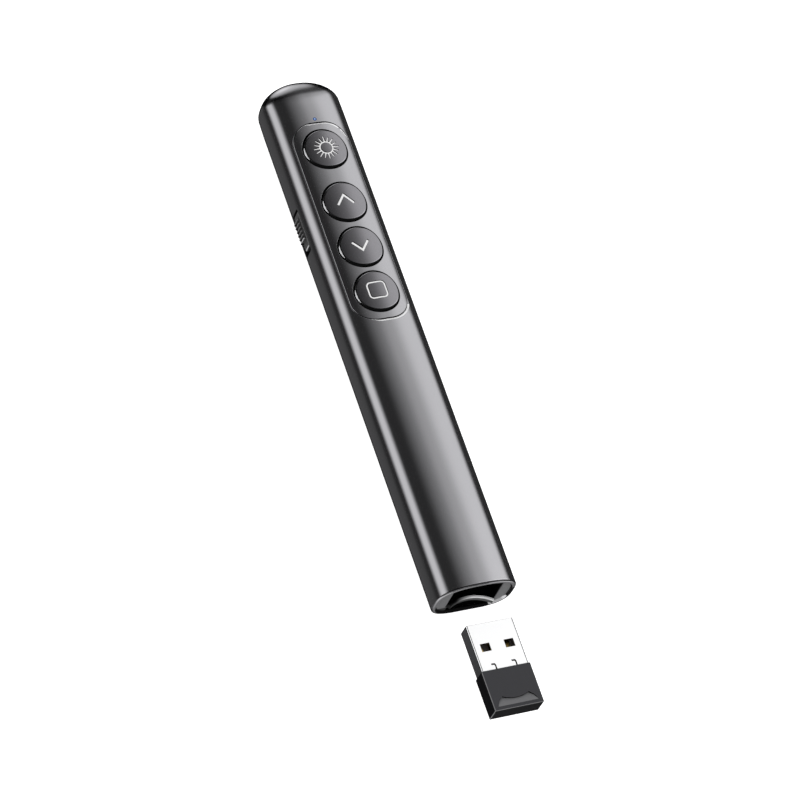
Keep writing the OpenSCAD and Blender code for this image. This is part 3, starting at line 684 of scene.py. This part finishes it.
def build_sleeve():
    bevel_steps, head_steps, dome_steps = 8, 60, 14
    rings = []
    for i in range(bevel_steps + 1):
        t = math.radians(90.0 * i / bevel_steps)
        rings.append(ring_at(TAIL_BEVEL * (1 - math.cos(t)), TAIL_BEVEL * (1 - math.sin(t))))
    straight_end = BODY_LENGTH - HEAD_THICK_ROUND
    rings += [ring_at(y) for y in np.linspace(TAIL_BEVEL + 2.5, straight_end, 42)]
    rings += [ring_at(BODY_LENGTH
                      - HEAD_THICK_ROUND * (1 - math.sin(math.pi / 2 * i / head_steps)))
              for i in range(1, head_steps + 1)]
    tip = BODY_LENGTH - WALL - 0.4
    dome = HEAD_THICK_ROUND - WALL
    lower = np.clip(-np.sin(SECTION) * 1.6, 0.0, 1.0)
    bevel = UPPER_BEVEL + (LOWER_BEVEL - UPPER_BEVEL) * lower * lower * (3 - 2 * lower)
    inner = [ring_at(y, WALL, tip) for y in np.linspace(0.8, tip - dome, 10)]
    inner += [ring_at(tip - dome * (1 - math.sin(math.pi / 2 * i / dome_steps)), WALL, tip)
              for i in range(1, dome_steps + 1)]
    rings = inner[::-1] + [tail_ring(bevel, WALL), tail_ring(0.0, WALL - bevel)] + rings
    sleeve = loft("sleeve_shell", rings)
    tools = [
        prism(graded(window_outline, opening_width), from_above, WIDE_Z, CROWN_Z + 2),
        prism(slot_outline(HOLE_EDGE), from_side, -HALF_WIDTH - 1, -HALF_WIDTH + WALL + 1.2),
        prism(door_outline(HOLE_EDGE), from_above, -1.0, WALL + 1.0),
        prism(led_outline(SMALL_EDGE), from_above, WIDE_Z, CROWN_Z + 1),
        prism(aperture_outline(HOLE_EDGE), from_head, BODY_LENGTH - 4, BODY_LENGTH + 1),
    ]
    combine(sleeve, join(*tools))
    slot_rim = rim(slot_outline, lambda a, b: (-side_at(b), a + TAIL_Y, b), (1, 0, 0), HOLE_EDGE,
                   1.3)
    # The slot's rim is painted black as shade.
    paint(slot_rim, lambda p, n: SHADE_PAINT)
    rims = chamfer_rim() + [
        slot_rim,
        rim(door_outline, lambda a, b: (a, b + TAIL_Y, belly_at(a)), (0, 0, 1), HOLE_EDGE,
            WALL_DEPTH),
        rim(led_outline, crown_point, (0, 0, -1), SMALL_EDGE, WALL_DEPTH),
        rim(aperture_outline, head_point, (0, -1, 0), HOLE_EDGE, 1.3),
    ]
    join(sleeve, *rims)
    set_shading(sleeve, body_normals)
    paint(sleeve, tail_tone)
    return dress(sleeve, "handset", "gunmetal", (gunmetal, painted_highlight, painted_shade, painted_glint),
                 "sleeve")


# ---- Button panel ----

def plate_outline(grow):
    half = (PANEL_HALF - PANEL_GAP, (PANEL_STOP - PANEL_START) / 2 - PANEL_GAP)
    return rounded_outline((0.0, (PANEL_START + PANEL_STOP) / 2), half, PANEL_CORNER - PANEL_GAP,
                           grow)


def build_panel():
    outer = plate_outline(0.0)
    inner = graded(plate_outline, lambda d: -end_width(d.y, d.x))
    edge = []
    for (a, b), p in zip(outer, inner):
        width = math.dist((a, b), p)
        turned = max(a - p[0], 0.0) * max(b - p[1], 0.0) / width ** 2
        edge.append(crown_point(a, b, (CHAMFER_SLOPE - CHAMFER_EASE * turned) * width))
    rings = [[(0.0, (PANEL_START + PANEL_STOP) / 2 + TAIL_Y, PANEL_BOTTOM)] * len(outer),
             [(a, b + TAIL_Y, PANEL_BOTTOM) for a, b in outer], edge,
             [crown_point(a, b) for a, b in inner]]
    for step in (0.45, 0.8, 1.3, 1.9, 2.6, 3.3, 4.1, 4.9, 5.7, 6.5, 7.2, PANEL_HALF - PANEL_GAP):
        rings.append([crown_point(a, b) for a, b in plate_outline(-step)])
    panel = loft("panel_plate", rings, False, False)
    holes = [prism(circle_outline((0.0, y), HOLE_R, CAP_HOLE_EDGE), from_above, PANEL_BOTTOM - 1,
                   CROWN_Z + 1) for y in BUTTON_Y.values()]
    combine(panel, join(*holes))
    rims = [rim(lambda g, y=y: circle_outline((0.0, y), HOLE_R, g), crown_point, (0, 0, -1),
                CAP_HOLE_EDGE, 1.6) for y in BUTTON_Y.values()]
    join(panel, *rims)

    def tone(p, n):
        """Walls are painted black as shade, and the wide chamfer at the head end is painted bright
        as a highlight.
        """
        y = p.y - TAIL_Y
        drop = float(crown_at(p.x, y)) - p.z
        if abs(n.z) < 0.3 and drop > 0.15:
            return SHADE_PAINT
        beside_hole = math.hypot(p.x, y - BUTTON_Y["laser"]) < HOLE_R + 0.2
        wide = 0.018 < drop < 0.3 and n.z > 0.3 and not beside_hole
        at_end = y > PANEL_STOP - PANEL_CORNER and p.x > BRIGHT_FROM_X
        return HIGHLIGHT_PAINT if wide and at_end else METAL

    paint(panel, tone)
    set_shading(panel, body_normals, 18.0)
    return dress(panel, "handset", "panel_metal", (panel_metal, painted_highlight, painted_shade),
                 "button_panel")


# ---- Buttons ----

def cap_height(x):
    """Top of a cap, which curves across the body."""
    return CAP_TOP - x * x / (2 * CAP_BEND) + CAP_LEAN * x


def cap_normals(points):
    x = points[:, 0]
    slope = CAP_LEAN - x / CAP_BEND
    normals = np.stack([-slope, np.zeros_like(x), np.ones_like(x)], 1)
    normals /= np.linalg.norm(normals, axis=1, keepdims=True)
    return normals, np.abs(points[:, 2] - cap_height(x)) < 0.003


def cap_edge(angle):
    """Radius of a cap's rounded edge: large at the left and towards the tail."""
    return CAP_EDGE[0] + (CAP_EDGE[1] - CAP_EDGE[0]) * ease(0.95 - math.cos(angle))


def cap_tone(y):
    """Picks the metal top, the flank painted black as shade, or the painted glint at the left of a
    cap.
    """
    top, flank, glint = range(3)

    def index_of(p, n):
        dy = p.y - y - TAIL_Y
        radius, angle = math.hypot(p.x, dy), math.atan2(dy, p.x)
        edge = cap_edge(angle)
        out = (radius - CAP_R + edge) / edge
        drop = cap_height(p.x) - p.z
        if out < 0.02 or drop < 0.002:
            return top
        tilt = math.degrees(math.asin(min(out, 1.0)))
        off = abs(math.degrees(angle) % 360.0 - GLINT_AT) / GLINT_SPAN
        if off < 1.0:
            return glint if abs(tilt - GLINT_TILT) < GLINT_WIDTH * (1.0 - off * off) else flank
        return flank if drop > 0.09 else top
    return index_of


def cap_solid(name, y, lower=0.0):
    count, edge_steps = 120, 18

    def circle(radius_at, height_at):
        ring = []
        for i in range(count):
            a = 2 * math.pi * i / count
            radius = radius_at(a)
            x = radius * math.cos(a)
            ring.append((x, y + TAIL_Y + radius * math.sin(a), height_at(x, a)))
        return ring

    def level(radius, height):
        return circle(lambda a: radius, lambda x, a: height)

    rings = [level(0.01, BOSS_LOW), level(2.0, BOSS_LOW), level(2.0, FLANGE_LOW),
             level(FLANGE_R, FLANGE_LOW), level(FLANGE_R, FLANGE_HIGH), level(CAP_R, FLANGE_HIGH)]
    for i in range(edge_steps + 1):
        t = math.radians(90.0 * i / edge_steps)
        rings.append(circle(lambda a: CAP_R - cap_edge(a) * (1 - math.cos(t)),
                            lambda x, a: cap_height(x) - lower - cap_edge(a) * (1 - math.sin(t))))
    for reach in (4.5, 4.1, 3.6, 3.0, 2.4, 1.8, 1.2, 0.6, 0.01):
        rings.append(circle(lambda a: reach, lambda x, a: cap_height(x) - lower))
    return loft(name, rings)


def annulus(outer, inner, low, high, y):
    """A closed frame between two outlines with equal numbers of points."""
    rings = []
    for outline, height in ((outer, low), (outer, high), (inner, high), (inner, low)):
        rings.append([from_above(a, b + y, height) for a, b in outline])
    return loft("cutter", rings, around=True)


def icon_tools(kind, y, low, high, shift):
    """The solids of an icon's lines, moved sideways by shift."""
    tools = icon_lines(kind, y, low, high, ICON_LINE / 2)
    for tool in tools:
        tool.data.transform(Matrix.Translation(Vector((shift[0], shift[1], 0.0)) * MM))
    return tools


def icon_lines(kind, y, low, high, half):
    """A sun, a rounded square, or a chevron that points up or down."""
    if kind == "laser":
        centre = (0.15, 0.15)
        tools = [annulus(circle_outline(centre, 1.80, 0, 64), circle_outline(centre, 1.48, 0, 64),
                         low, high, y)]
        for i in range(16):
            a = math.radians(22.5 * i)
            reach = 3.25 if i % 2 == 0 else 3.05
            direction = Vector((math.cos(a), math.sin(a)))
            side = Vector((-direction.y, direction.x))
            start, stop = direction * 1.75, direction * reach
            points = [start - side * 0.15, stop - side * 0.09, stop + side * 0.09,
                      start + side * 0.15]
            tools.append(prism([(p.x + centre[0], p.y + centre[1] + y) for p in points],
                               from_above, low, high))
        return tools
    if kind == "blank":
        outer, inner = (rounded_outline((0.02, 0.2), (2.27, 2.15), 0.95, side * 0.7 * half)
                        for side in (1, -1))
        return [annulus(outer, inner, low, high, y)]
    if kind == "up":
        ends, tip, upward = -0.8, 1.78, 1
    else:
        ends, tip, upward = 1.32, -1.2, -1
    corner = Vector((0.05, tip))
    left, right = Vector((-2.05, ends)), Vector((2.12, ends))
    arm = (corner - left).normalized()
    normal = Vector((-arm.y, arm.x)) * half * upward
    rise = Vector((0, upward * half / abs(arm.x)))
    arm_right = (right - corner).normalized()
    normal_right = Vector((-arm_right.y, arm_right.x)) * half * upward
    shape = [left + normal, corner + rise, right + normal_right, right - normal_right,
             corner - rise, left - normal]
    return [prism([(p.x, p.y + y) for p in shape], from_above, low, high)]


def build_button(kind):
    y = BUTTON_Y[kind]
    cap = cap_solid(kind + "_cap", y)
    low, high = CAP_TOP - ICON_CUT, CAP_TOP + 1
    for shift in ((0.0, 0.0), ICON_SHADOW):
        combine(cap, join(*icon_tools(kind, y, low, high, shift)))
    paint(cap, cap_tone(y))
    set_shading(cap, cap_normals, 30.0)
    dress(cap, kind + "_key", "button_plastic", (cap_finish, painted_shade, painted_glint),
          kind + "_button")
    # The white icons are print; the black inlay beside them is a painted shadow in the grooves.
    inlays = (("_icon", ICON_DEPTH, (0.0, 0.0), icon_paint),
              ("_painted_icon_shadow", 2 * ICON_DEPTH, ICON_SHADOW, icon_painted_shadow))
    for name, lower, shift, material in inlays:
        inlay = cap_solid(kind + name, y, lower)
        combine(inlay, join(*icon_tools(kind, y, low + 0.1, high, shift)), "INTERSECT")
        set_shading(inlay, None)
        dress(inlay, kind + "_key", "button_plastic", material)


# ---- Receiver ----

def receiver_block(name, half, corner, start, stop, edge):
    """A bar along the body with rounded edges all round; edge is the rounding of its ends."""
    steps = 4
    rings = []
    for i in range(steps + 1):
        t = math.radians(90.0 * i / steps)
        rings.append((-edge * (1 - math.sin(t)), start + edge * (1 - math.cos(t))))
    rings += [(grow, stop - (y - start)) for grow, y in reversed(rings)]
    sections = []
    for grow, y in rings:
        outline = rounded_outline((0.0, RECEIVER_Z), half, corner, grow, 6, (2, 2))
        sections.append([(a, y + TAIL_Y, b) for a, b in outline])
    return loft(name, sections)


def even_out(piece, angle=40.0):
    """Smooth shading that keeps flat faces flat."""
    set_shading(piece, None, angle)
    even = piece.modifiers.new("even", "WEIGHTED_NORMAL")
    even.keep_sharp = True
    even.weight = 100
    return piece


def box_tool(low, high):
    (x0, y0, z0), (x1, y1, z1) = low, high
    outline = [(x0, y0), (x1, y0), (x1, y1), (x0, y1)]
    return prism(outline, from_above, z0, z1)


def grip_shape():
    """The finger grip's outline, counted from the receiver's free end."""
    corners = [(-5.2, GRIP_START), (-4.5, 2.2), (-3.35, GRIP_END)]
    reach, centre = 7.75, 10.2
    span = math.asin(min(math.sqrt(reach ** 2 - (centre - GRIP_END) ** 2) / reach, 1.0))
    arc = [(reach * math.sin(-span + 2 * span * i / 24),
            centre - reach * math.cos(-span + 2 * span * i / 24)) for i in range(25)]
    return corners + arc + [(-x, y) for x, y in reversed(corners)]


def shell_tone(p, n):
    """Picks the shell's steel, its edges painted grey as shade, its left side painted darker as
    shade, the slits' walls painted black as shade, or its top painted white as a highlight.
    """
    steel_part, edge, side, slit, top = range(5)
    lid = RECEIVER_Z + SHELL_HALF_Z
    if (p.z > lid - 0.35 and abs(n.z) < 0.3 and p.y < TAIL_Y + SHELL_BACK + 2
            and abs(p.x) < SHELL_HALF_X - 1):
        return slit
    if n.x < -0.9 and p.x < -SHELL_HALF_X + 0.1:
        return side
    if p.x > SHELL_HALF_X - 0.5 and n.x > 0.1 and n.z > -0.2:
        return edge
    if n.y > 0.1 and n.z > 0.1:
        return edge
    return top if n.z > 0.99 and p.z > lid - 0.1 else steel_part


def receiver_cap_tone(p, n):
    """Picks the cap's top, its sides and the grip's walls painted black as shade, or its rounded
    edges painted lighter as a highlight.
    """
    top, side, edge = range(3)
    if n.z > 0.96:
        return top
    upright = abs(n.z) < 0.1
    if upright and abs(p.x) < 5.4 and p.y > TAIL_Y + CAP_BACK + 0.5:
        return side
    if max(abs(n.x), abs(n.y), abs(n.z)) > 0.96 or n.z < -0.1 or n.y > 0.1:
        return side
    return side if upright and n.x > 0.1 else edge


def build_receiver():
    shell = receiver_block("receiver_plug", (SHELL_HALF_X, SHELL_HALF_Z), 0.4,
                           SHELL_BACK - 0.4, SHELL_FRONT, 0.1)
    top = RECEIVER_Z + SHELL_HALF_Z + 1
    inner = receiver_block("cutter", (SHELL_HALF_X - SHELL_SHEET, SHELL_HALF_Z - SHELL_SHEET), 0.15,
                           SHELL_BACK - 3, SHELL_FRONT + 2, 0.01)
    combine(shell, inner)
    tools = [box_tool((side * WINDOW_X - WINDOW_HALF[0], WINDOW_Y - WINDOW_HALF[1], RECEIVER_Z),
                      (side * WINDOW_X + WINDOW_HALF[0], WINDOW_Y + WINDOW_HALF[1], top))
             for side in (-1, 1)]
    for x in LATCH_SLITS:
        points = [(x - 0.18, SHELL_BACK - 1), (x + 0.18, SHELL_BACK - 1),
                  (x + 0.18, SHELL_BACK + 1.1), (x - 0.05, SHELL_BACK + 1.5),
                  (x - 0.95, SHELL_BACK + 1.54), (x - 0.95, SHELL_BACK + 1.14),
                  (x - 0.3, SHELL_BACK + 1.1), (x - 0.18, SHELL_BACK + 0.95)]
        tools.append(prism(points, from_above, RECEIVER_Z, top))
    combine(shell, join(*tools))
    even_out(shell)
    paint(shell, shell_tone)
    dress(shell, "receiver", "plug_steel", (steel, shell_painted_edge_shade, shell_painted_shade, painted_shade, shell_painted_highlight),
          "receiver_shell")

    cap = receiver_block("receiver_end", (CAP_HALF_X, CAP_HALF_Z), 0.2, CAP_BACK, SHELL_BACK, 0.2)
    lid = RECEIVER_Z + CAP_HALF_Z
    shape = [(a, b + CAP_BACK) for a, b in grip_shape()]
    combine(cap, prism(shape, from_above, lid - 0.6, lid + 1))
    shade_flat(cap)
    paint(cap, receiver_cap_tone)
    dress(cap, "receiver", "cap_plastic", (receiver_black, receiver_painted_shade, receiver_painted_highlight),
          "receiver_cap")

    def ramp(b):
        return lid - 0.03 - 0.5 * (b - CAP_BACK - GRIP_START) / (GRIP_END - GRIP_START)

    inset = [(a * 0.985, b + 0.03) for a, b in shape]
    grip = loft("receiver_grip", [[from_above(a, b, lid - 0.62) for a, b in inset],
                                  [from_above(a, b, ramp(b)) for a, b in inset]])
    shade_flat(grip)
    dress(grip, "receiver", "cap_plastic", grip_painted_light)


# ---- Power slider ----

def knob_face(b):
    """The knob's face, just inside the body's side, at a height."""
    return -float(side_at(b)) + KNOB_SINK


def knob_tone(p, n):
    """The flange and the ribs' lower part are painted black as shade, and edges that face the light
    are painted lighter as highlights.
    """
    plastic, light, black, bright = range(4)
    if p.x > -KNOB_FLANGE[0] - 0.05:
        return black
    along = p.y - TAIL_Y
    face = knob_face(p.z)
    if along < KNOB_TAIL + 0.2 and n.x < -0.15 and abs(p.z - SLOT_Z) < 1.3:
        return bright
    if p.x < face - 0.1:
        if p.z < SLOT_Z - 0.7:
            return black
        if p.x < face - KNOB_RIB * 0.75 and n.x < -0.5:
            return bright if along < KNOB_TAIL + KNOB_FIRST_RIB + 0.3 else light
        return plastic
    return light if p.z > SLOT_Z + KNOB_HALF - 0.2 and n.x < -0.1 else plastic


def build_slider():
    """The ribbed knob, with its flange inside the slot."""
    middle = ((KNOB_TAIL + KNOB_HEAD) / 2, SLOT_Z)
    half = ((KNOB_HEAD - KNOB_TAIL) / 2, KNOB_HALF)

    def ring(grow, out):
        return [(knob_face(b) + out, a + TAIL_Y, b)
                for a, b in rounded_outline(middle, half, 0.3, grow, 6, (6, 14))]

    rings = [[(KNOB_BASE, a, b) for _, a, b in ring(0.0, 0.0)], ring(0.0, 0.2), ring(-0.07, 0.05),
             ring(-0.18, 0.0)]
    rings += [ring(-step, 0.0) for step in (0.5, 1.0, 1.5, KNOB_HALF - 0.02)]
    knob = loft("slider_grip", rings)
    ribs = []
    heights = ((-1.55, 0.7), (-1.4, 1.0), (-0.7, 1.0), (0.0, 1.0), (0.7, 1.0), (1.4, 1.0),
               (1.55, 0.7))
    for i in range(KNOB_RIBS):
        y = KNOB_TAIL + KNOB_FIRST_RIB + KNOB_PITCH * i
        profile = [(y - 0.36, 0.4), (y - 0.32, -KNOB_RIB + 0.05), (y - 0.26, -KNOB_RIB),
                   (y - 0.1, -KNOB_RIB), (y + 0.55, 0.15)]
        ribs.append(loft("rib", [[(knob_face(SLOT_Z + up) + out * fade, a + TAIL_Y, SLOT_Z + up)
                                  for a, out in profile] for up, fade in heights]))
    join(knob, *ribs)
    flange = box_tool((-KNOB_FLANGE[0], KNOB_TAIL - 1.0, SLOT_Z - SLOT_HALF - 0.5),
                      (-KNOB_FLANGE[1], KNOB_HEAD + 1.0, SLOT_Z + SLOT_HALF + 0.5))
    join(knob, flange)
    shade_flat(knob)
    paint(knob, knob_tone)
    dress(knob, "power_slider", "slider_plastic",
          (slider_plastic, rib_painted_highlight, painted_shade, rib_painted_glint), "slider_knob")


# ---- Tail liner's trim ----

def build_scoop_trim():
    """The edge of the finger scoop in the mouth, painted pale on top as a highlight."""
    rings = []
    profile = ((0.0, -0.2), (0.0, 0.95), (0.08, 1.1), (0.25, 1.2), (0.55, 1.2), (0.68, 1.1),
               (0.75, 0.8), (1.9, 0.02), (1.9, -0.2))
    for a in np.linspace(-29.0, 35.0, 41):
        t = math.radians(a)
        rings.append([(TRIM_X + (TRIM_R + out) * math.sin(t),
                       TRIM_Y + TAIL_Y + (TRIM_R + out) * math.cos(t),
                       MOUTH_FLOOR + high) for out, high in profile])
    trim = loft("scoop_edge", rings)
    even_out(trim, 50.0)
    dress(trim, "handset", "liner_plastic", scoop_trim)


build_sleeve()
build_panel()
for key_name in BUTTON_Y:
    build_button(key_name)
build_slider()
build_receiver()
build_scoop_trim()

# ---- Places where a material changes along its piece, with painted shade and highlights ----

def liner_share(nodes, x, y, z):
    """The liner is grey on its end face, painted black inside the bay as shade, and black along its
    lower lip.
    """
    lip = nodes.math("MULTIPLY", nodes.smooth(z, 3.35, 3.1), nodes.smooth(x, 6.9, 6.3))
    return nodes.math("MAXIMUM", nodes.smooth(y, TAIL_Y + 0.45, TAIL_Y + 0.75), lip)


def trim_share(nodes, x, y, z):
    """The scoop's edge is painted pale on its top as a highlight, fading towards the left as
    painted shade.
    """
    return nodes.math("MULTIPLY", nodes.smooth(x, -3.8, 1.2),
                      nodes.smooth(z, MOUTH_FLOOR + 0.8, MOUTH_FLOOR + 1.05))


def led_share(nodes, x, y, z):
    """The light is pale in its middle, and a deep blue round it."""
    dx = nodes.math("MULTIPLY", x, x)
    off = nodes.math("SUBTRACT", y, LED_Y + TAIL_Y)
    away = nodes.math("SQRT", nodes.math("ADD", dx, nodes.math("MULTIPLY", off, off)))
    return nodes.smooth(away, 0.06, 0.22)


# The liner's black inside the bay is painted shade.
liner_shader = shade_by_place(liner_plastic, "Base Color", liner_share,
                              (0.105, 0.105, 0.108), (0.0012, 0.0012, 0.0012))
liner_shader.inputs["Specular IOR Level"].default_value = 0.2
# The scoop's edge: a painted highlight on top that fades to the left, and painted black as shade
# elsewhere.
shade_by_place(scoop_trim, "Base Color", trim_share, (0.004, 0.004, 0.004), (0.75, 0.75, 0.76))
led_shader = shade_by_place(FINISHES["blue_light"], "Emission Color", led_share,
                            (0.50, 0.72, 0.95), (0.009, 0.045, 0.18))
led_shader.inputs["Emission Strength"].default_value = 1.0

# ---- CAD nodes that stay ----

MATERIAL_OF = {row["node"]: row["material_slot"] for row in frame["record"]["subparts"]}
for node_name, node in frame["nodes"].items():
    node.data.materials.clear()
    node.data.materials.append(FINISHES[MATERIAL_OF[node_name]])

# ---- Light ----
# Reflections see soft boxes. Each is a range of turn, in degrees round the body's long axis from
# straight up (right is positive), or of a direction's part: ahead (to the head), across or rise.

LEFT_STRIP, LEFT_POWER = (-108.0, -80.0, -68.0, -44.0), 1.47
KEY, KEY_POWER = (-18.0, 50.0, 65.0, 86.0), 0.84
KEY_CORE, KEY_CORE_POWER = (15.0, 38.0, 65.0, 86.0), 0.60
TAIL_CARD, TAIL_CARD_POWER = (0.02, 0.12, 0.25, 0.31), 0.8
LOW_RIGHT, LOW_RIGHT_POWER = (120.0, 150.0, 160.0, 178.0), 0.075
LOW_LEFT_POWER = 0.08
AMBIENT, AMBIENT_POWER = (-178.0, -166.0, 108.0, 124.0), 0.022
BASE_POWER = 0.04
SIDE_RIGHT, SIDE_LEFT = (112.0, 140.0, 160.0, 179.0), (-179.0, -160.0, -140.0, -112.0)
SIDE_POWER = 0.16
BEHIND_RISE, BEHIND_SKIP = (0.02, 0.12, 0.42, 0.52), (0.18, 0.28, 0.48, 0.60)
BEHIND_POWER, BELOW_POWER = 0.3, 1.3
HEAD_AIM = (0.06, 0.98, 0.16)
STUDIO_COLOUR = (0.985, 0.99, 1.0, 1.0)

world = bpy.data.worlds.new("studio")
bpy.context.scene.world = world
world.use_nodes = True
graph = Graph(world.node_tree)
direction = graph.add("ShaderNodeTexCoord").outputs["Generated"]
parts = graph.add("ShaderNodeSeparateXYZ", {"Vector": direction})
across, ahead, rise = (parts.outputs[axis] for axis in "XYZ")
turn = graph.math("MULTIPLY", graph.math("ARCTAN2", across, rise), 180.0 / math.pi)


def product(*values):
    total = values[0]
    for value in values[1:]:
        total = graph.math("MULTIPLY", total, value)
    return total


def total_of(*values):
    total = values[0]
    for value in values[1:]:
        total = graph.math("ADD", total, value)
    return total


left_strip = product(graph.box(turn, *LEFT_STRIP), LEFT_POWER,
                     graph.smooth(ahead, 0.56, 0.70, 1.0, 0.3))
key = total_of(product(graph.box(turn, *KEY), KEY_POWER),
               product(graph.box(turn, *KEY_CORE), KEY_CORE_POWER))
tail_card = total_of(product(graph.box(ahead, *TAIL_CARD), TAIL_CARD_POWER),
                     graph.smooth(ahead, 0.345, 0.315, 0.0, 0.3), 1.0)
low_fill = product(total_of(product(graph.box(turn, *LOW_RIGHT), LOW_RIGHT_POWER),
                            product(graph.smooth(turn, -118.0, -146.0),
                                    graph.smooth(turn, -177.0, -166.0), LOW_LEFT_POWER)),
                   graph.smooth(ahead, 0.325, 0.35, 0.0, 1.0))
ambient = product(graph.box(turn, *AMBIENT), AMBIENT_POWER)
level = total_of(left_strip, product(key, tail_card), low_fill, ambient, BASE_POWER)
# The level drops in two steps towards the head, for the dark band on its rounding, and behind.
level = product(level, graph.smooth(ahead, 0.62, 0.665, 1.0, 0.64),
                graph.smooth(ahead, 0.69, 0.735, 1.0, 0.12),
                graph.smooth(ahead, -0.12, 0.16, 0.08, 1.0))
side_fill = product(total_of(graph.box(turn, *SIDE_RIGHT), graph.box(turn, *SIDE_LEFT)),
                    graph.smooth(ahead, 0.24, 0.12), SIDE_POWER)
behind = product(graph.smooth(ahead, -0.55, -0.75, 0.0, BEHIND_POWER),
                 graph.box(rise, *BEHIND_RISE),
                 graph.math("SUBTRACT", 1.0, graph.box(across, *BEHIND_SKIP)))
below = product(graph.smooth(ahead, -0.25, -0.75, 0.0, BELOW_POWER),
                graph.smooth(rise, -0.1, -0.4))
aim = graph.add("ShaderNodeVectorMath", {0: direction, 1: HEAD_AIM},
                operation="DOT_PRODUCT").outputs["Value"]
level = total_of(level, behind, below, side_fill, graph.smooth(aim, 0.87, 0.965, 0.0, 1.15),
                 graph.smooth(aim, 0.96, 0.998, 0.0, 0.8))

path = graph.add("ShaderNodeLightPath")
studio = graph.add("ShaderNodeBackground", {"Color": STUDIO_COLOUR, "Strength": level})
plain = graph.add("ShaderNodeBackground", {"Color": (1.0, 1.0, 1.0, 1.0), "Strength": 1.0})
mixed_world = graph.add("ShaderNodeMixShader", {0: path.outputs["Is Glossy Ray"],
                                                1: plain.outputs[0], 2: studio.outputs[0]})
graph.add("ShaderNodeOutputWorld", {"Surface": mixed_world.outputs[0]})
world.cycles.sampling_method = "NONE"

# ---- Floor and camera ----

FLOOR_HALF = 4000
floor_finish = finish_of("floor_paper", (0.90, 0.90, 0.90), 0.0, 0.9, 0.02, 0.005, 60.0, 0.0,
                         emission=((1.0, 1.0, 1.0), 0.8))
floor = new_mesh("floor", [(a * FLOOR_HALF, b * FLOOR_HALF, 0)
                           for a, b in ((-1, -1), (1, -1), (1, 1), (-1, 1))],
                 [(0, 1, 2, 3)], False)
floor.data.materials.append(floor_finish)
floor.visible_glossy = False

camera_data = bpy.data.cameras.new("camera")
camera = bpy.data.objects.new("camera", camera_data)
bpy.context.scene.collection.objects.link(camera)
right, up = Vector(CAMERA_RIGHT).normalized(), Vector(CAMERA_UP).normalized()
back = right.cross(up).normalized()
up = back.cross(right)
camera.matrix_world = Matrix.Translation(Vector(CAMERA_AT) * MM) @ Matrix(
    (right, up, back)).transposed().to_4x4()
camera_data.lens = CAMERA_LENS
camera_data.sensor_width = SENSOR
camera_data.clip_start = 0.01
camera_data.clip_end = 20.0
bpy.context.scene.camera = camera
bpy.context.scene.view_settings.view_transform = "Standard"
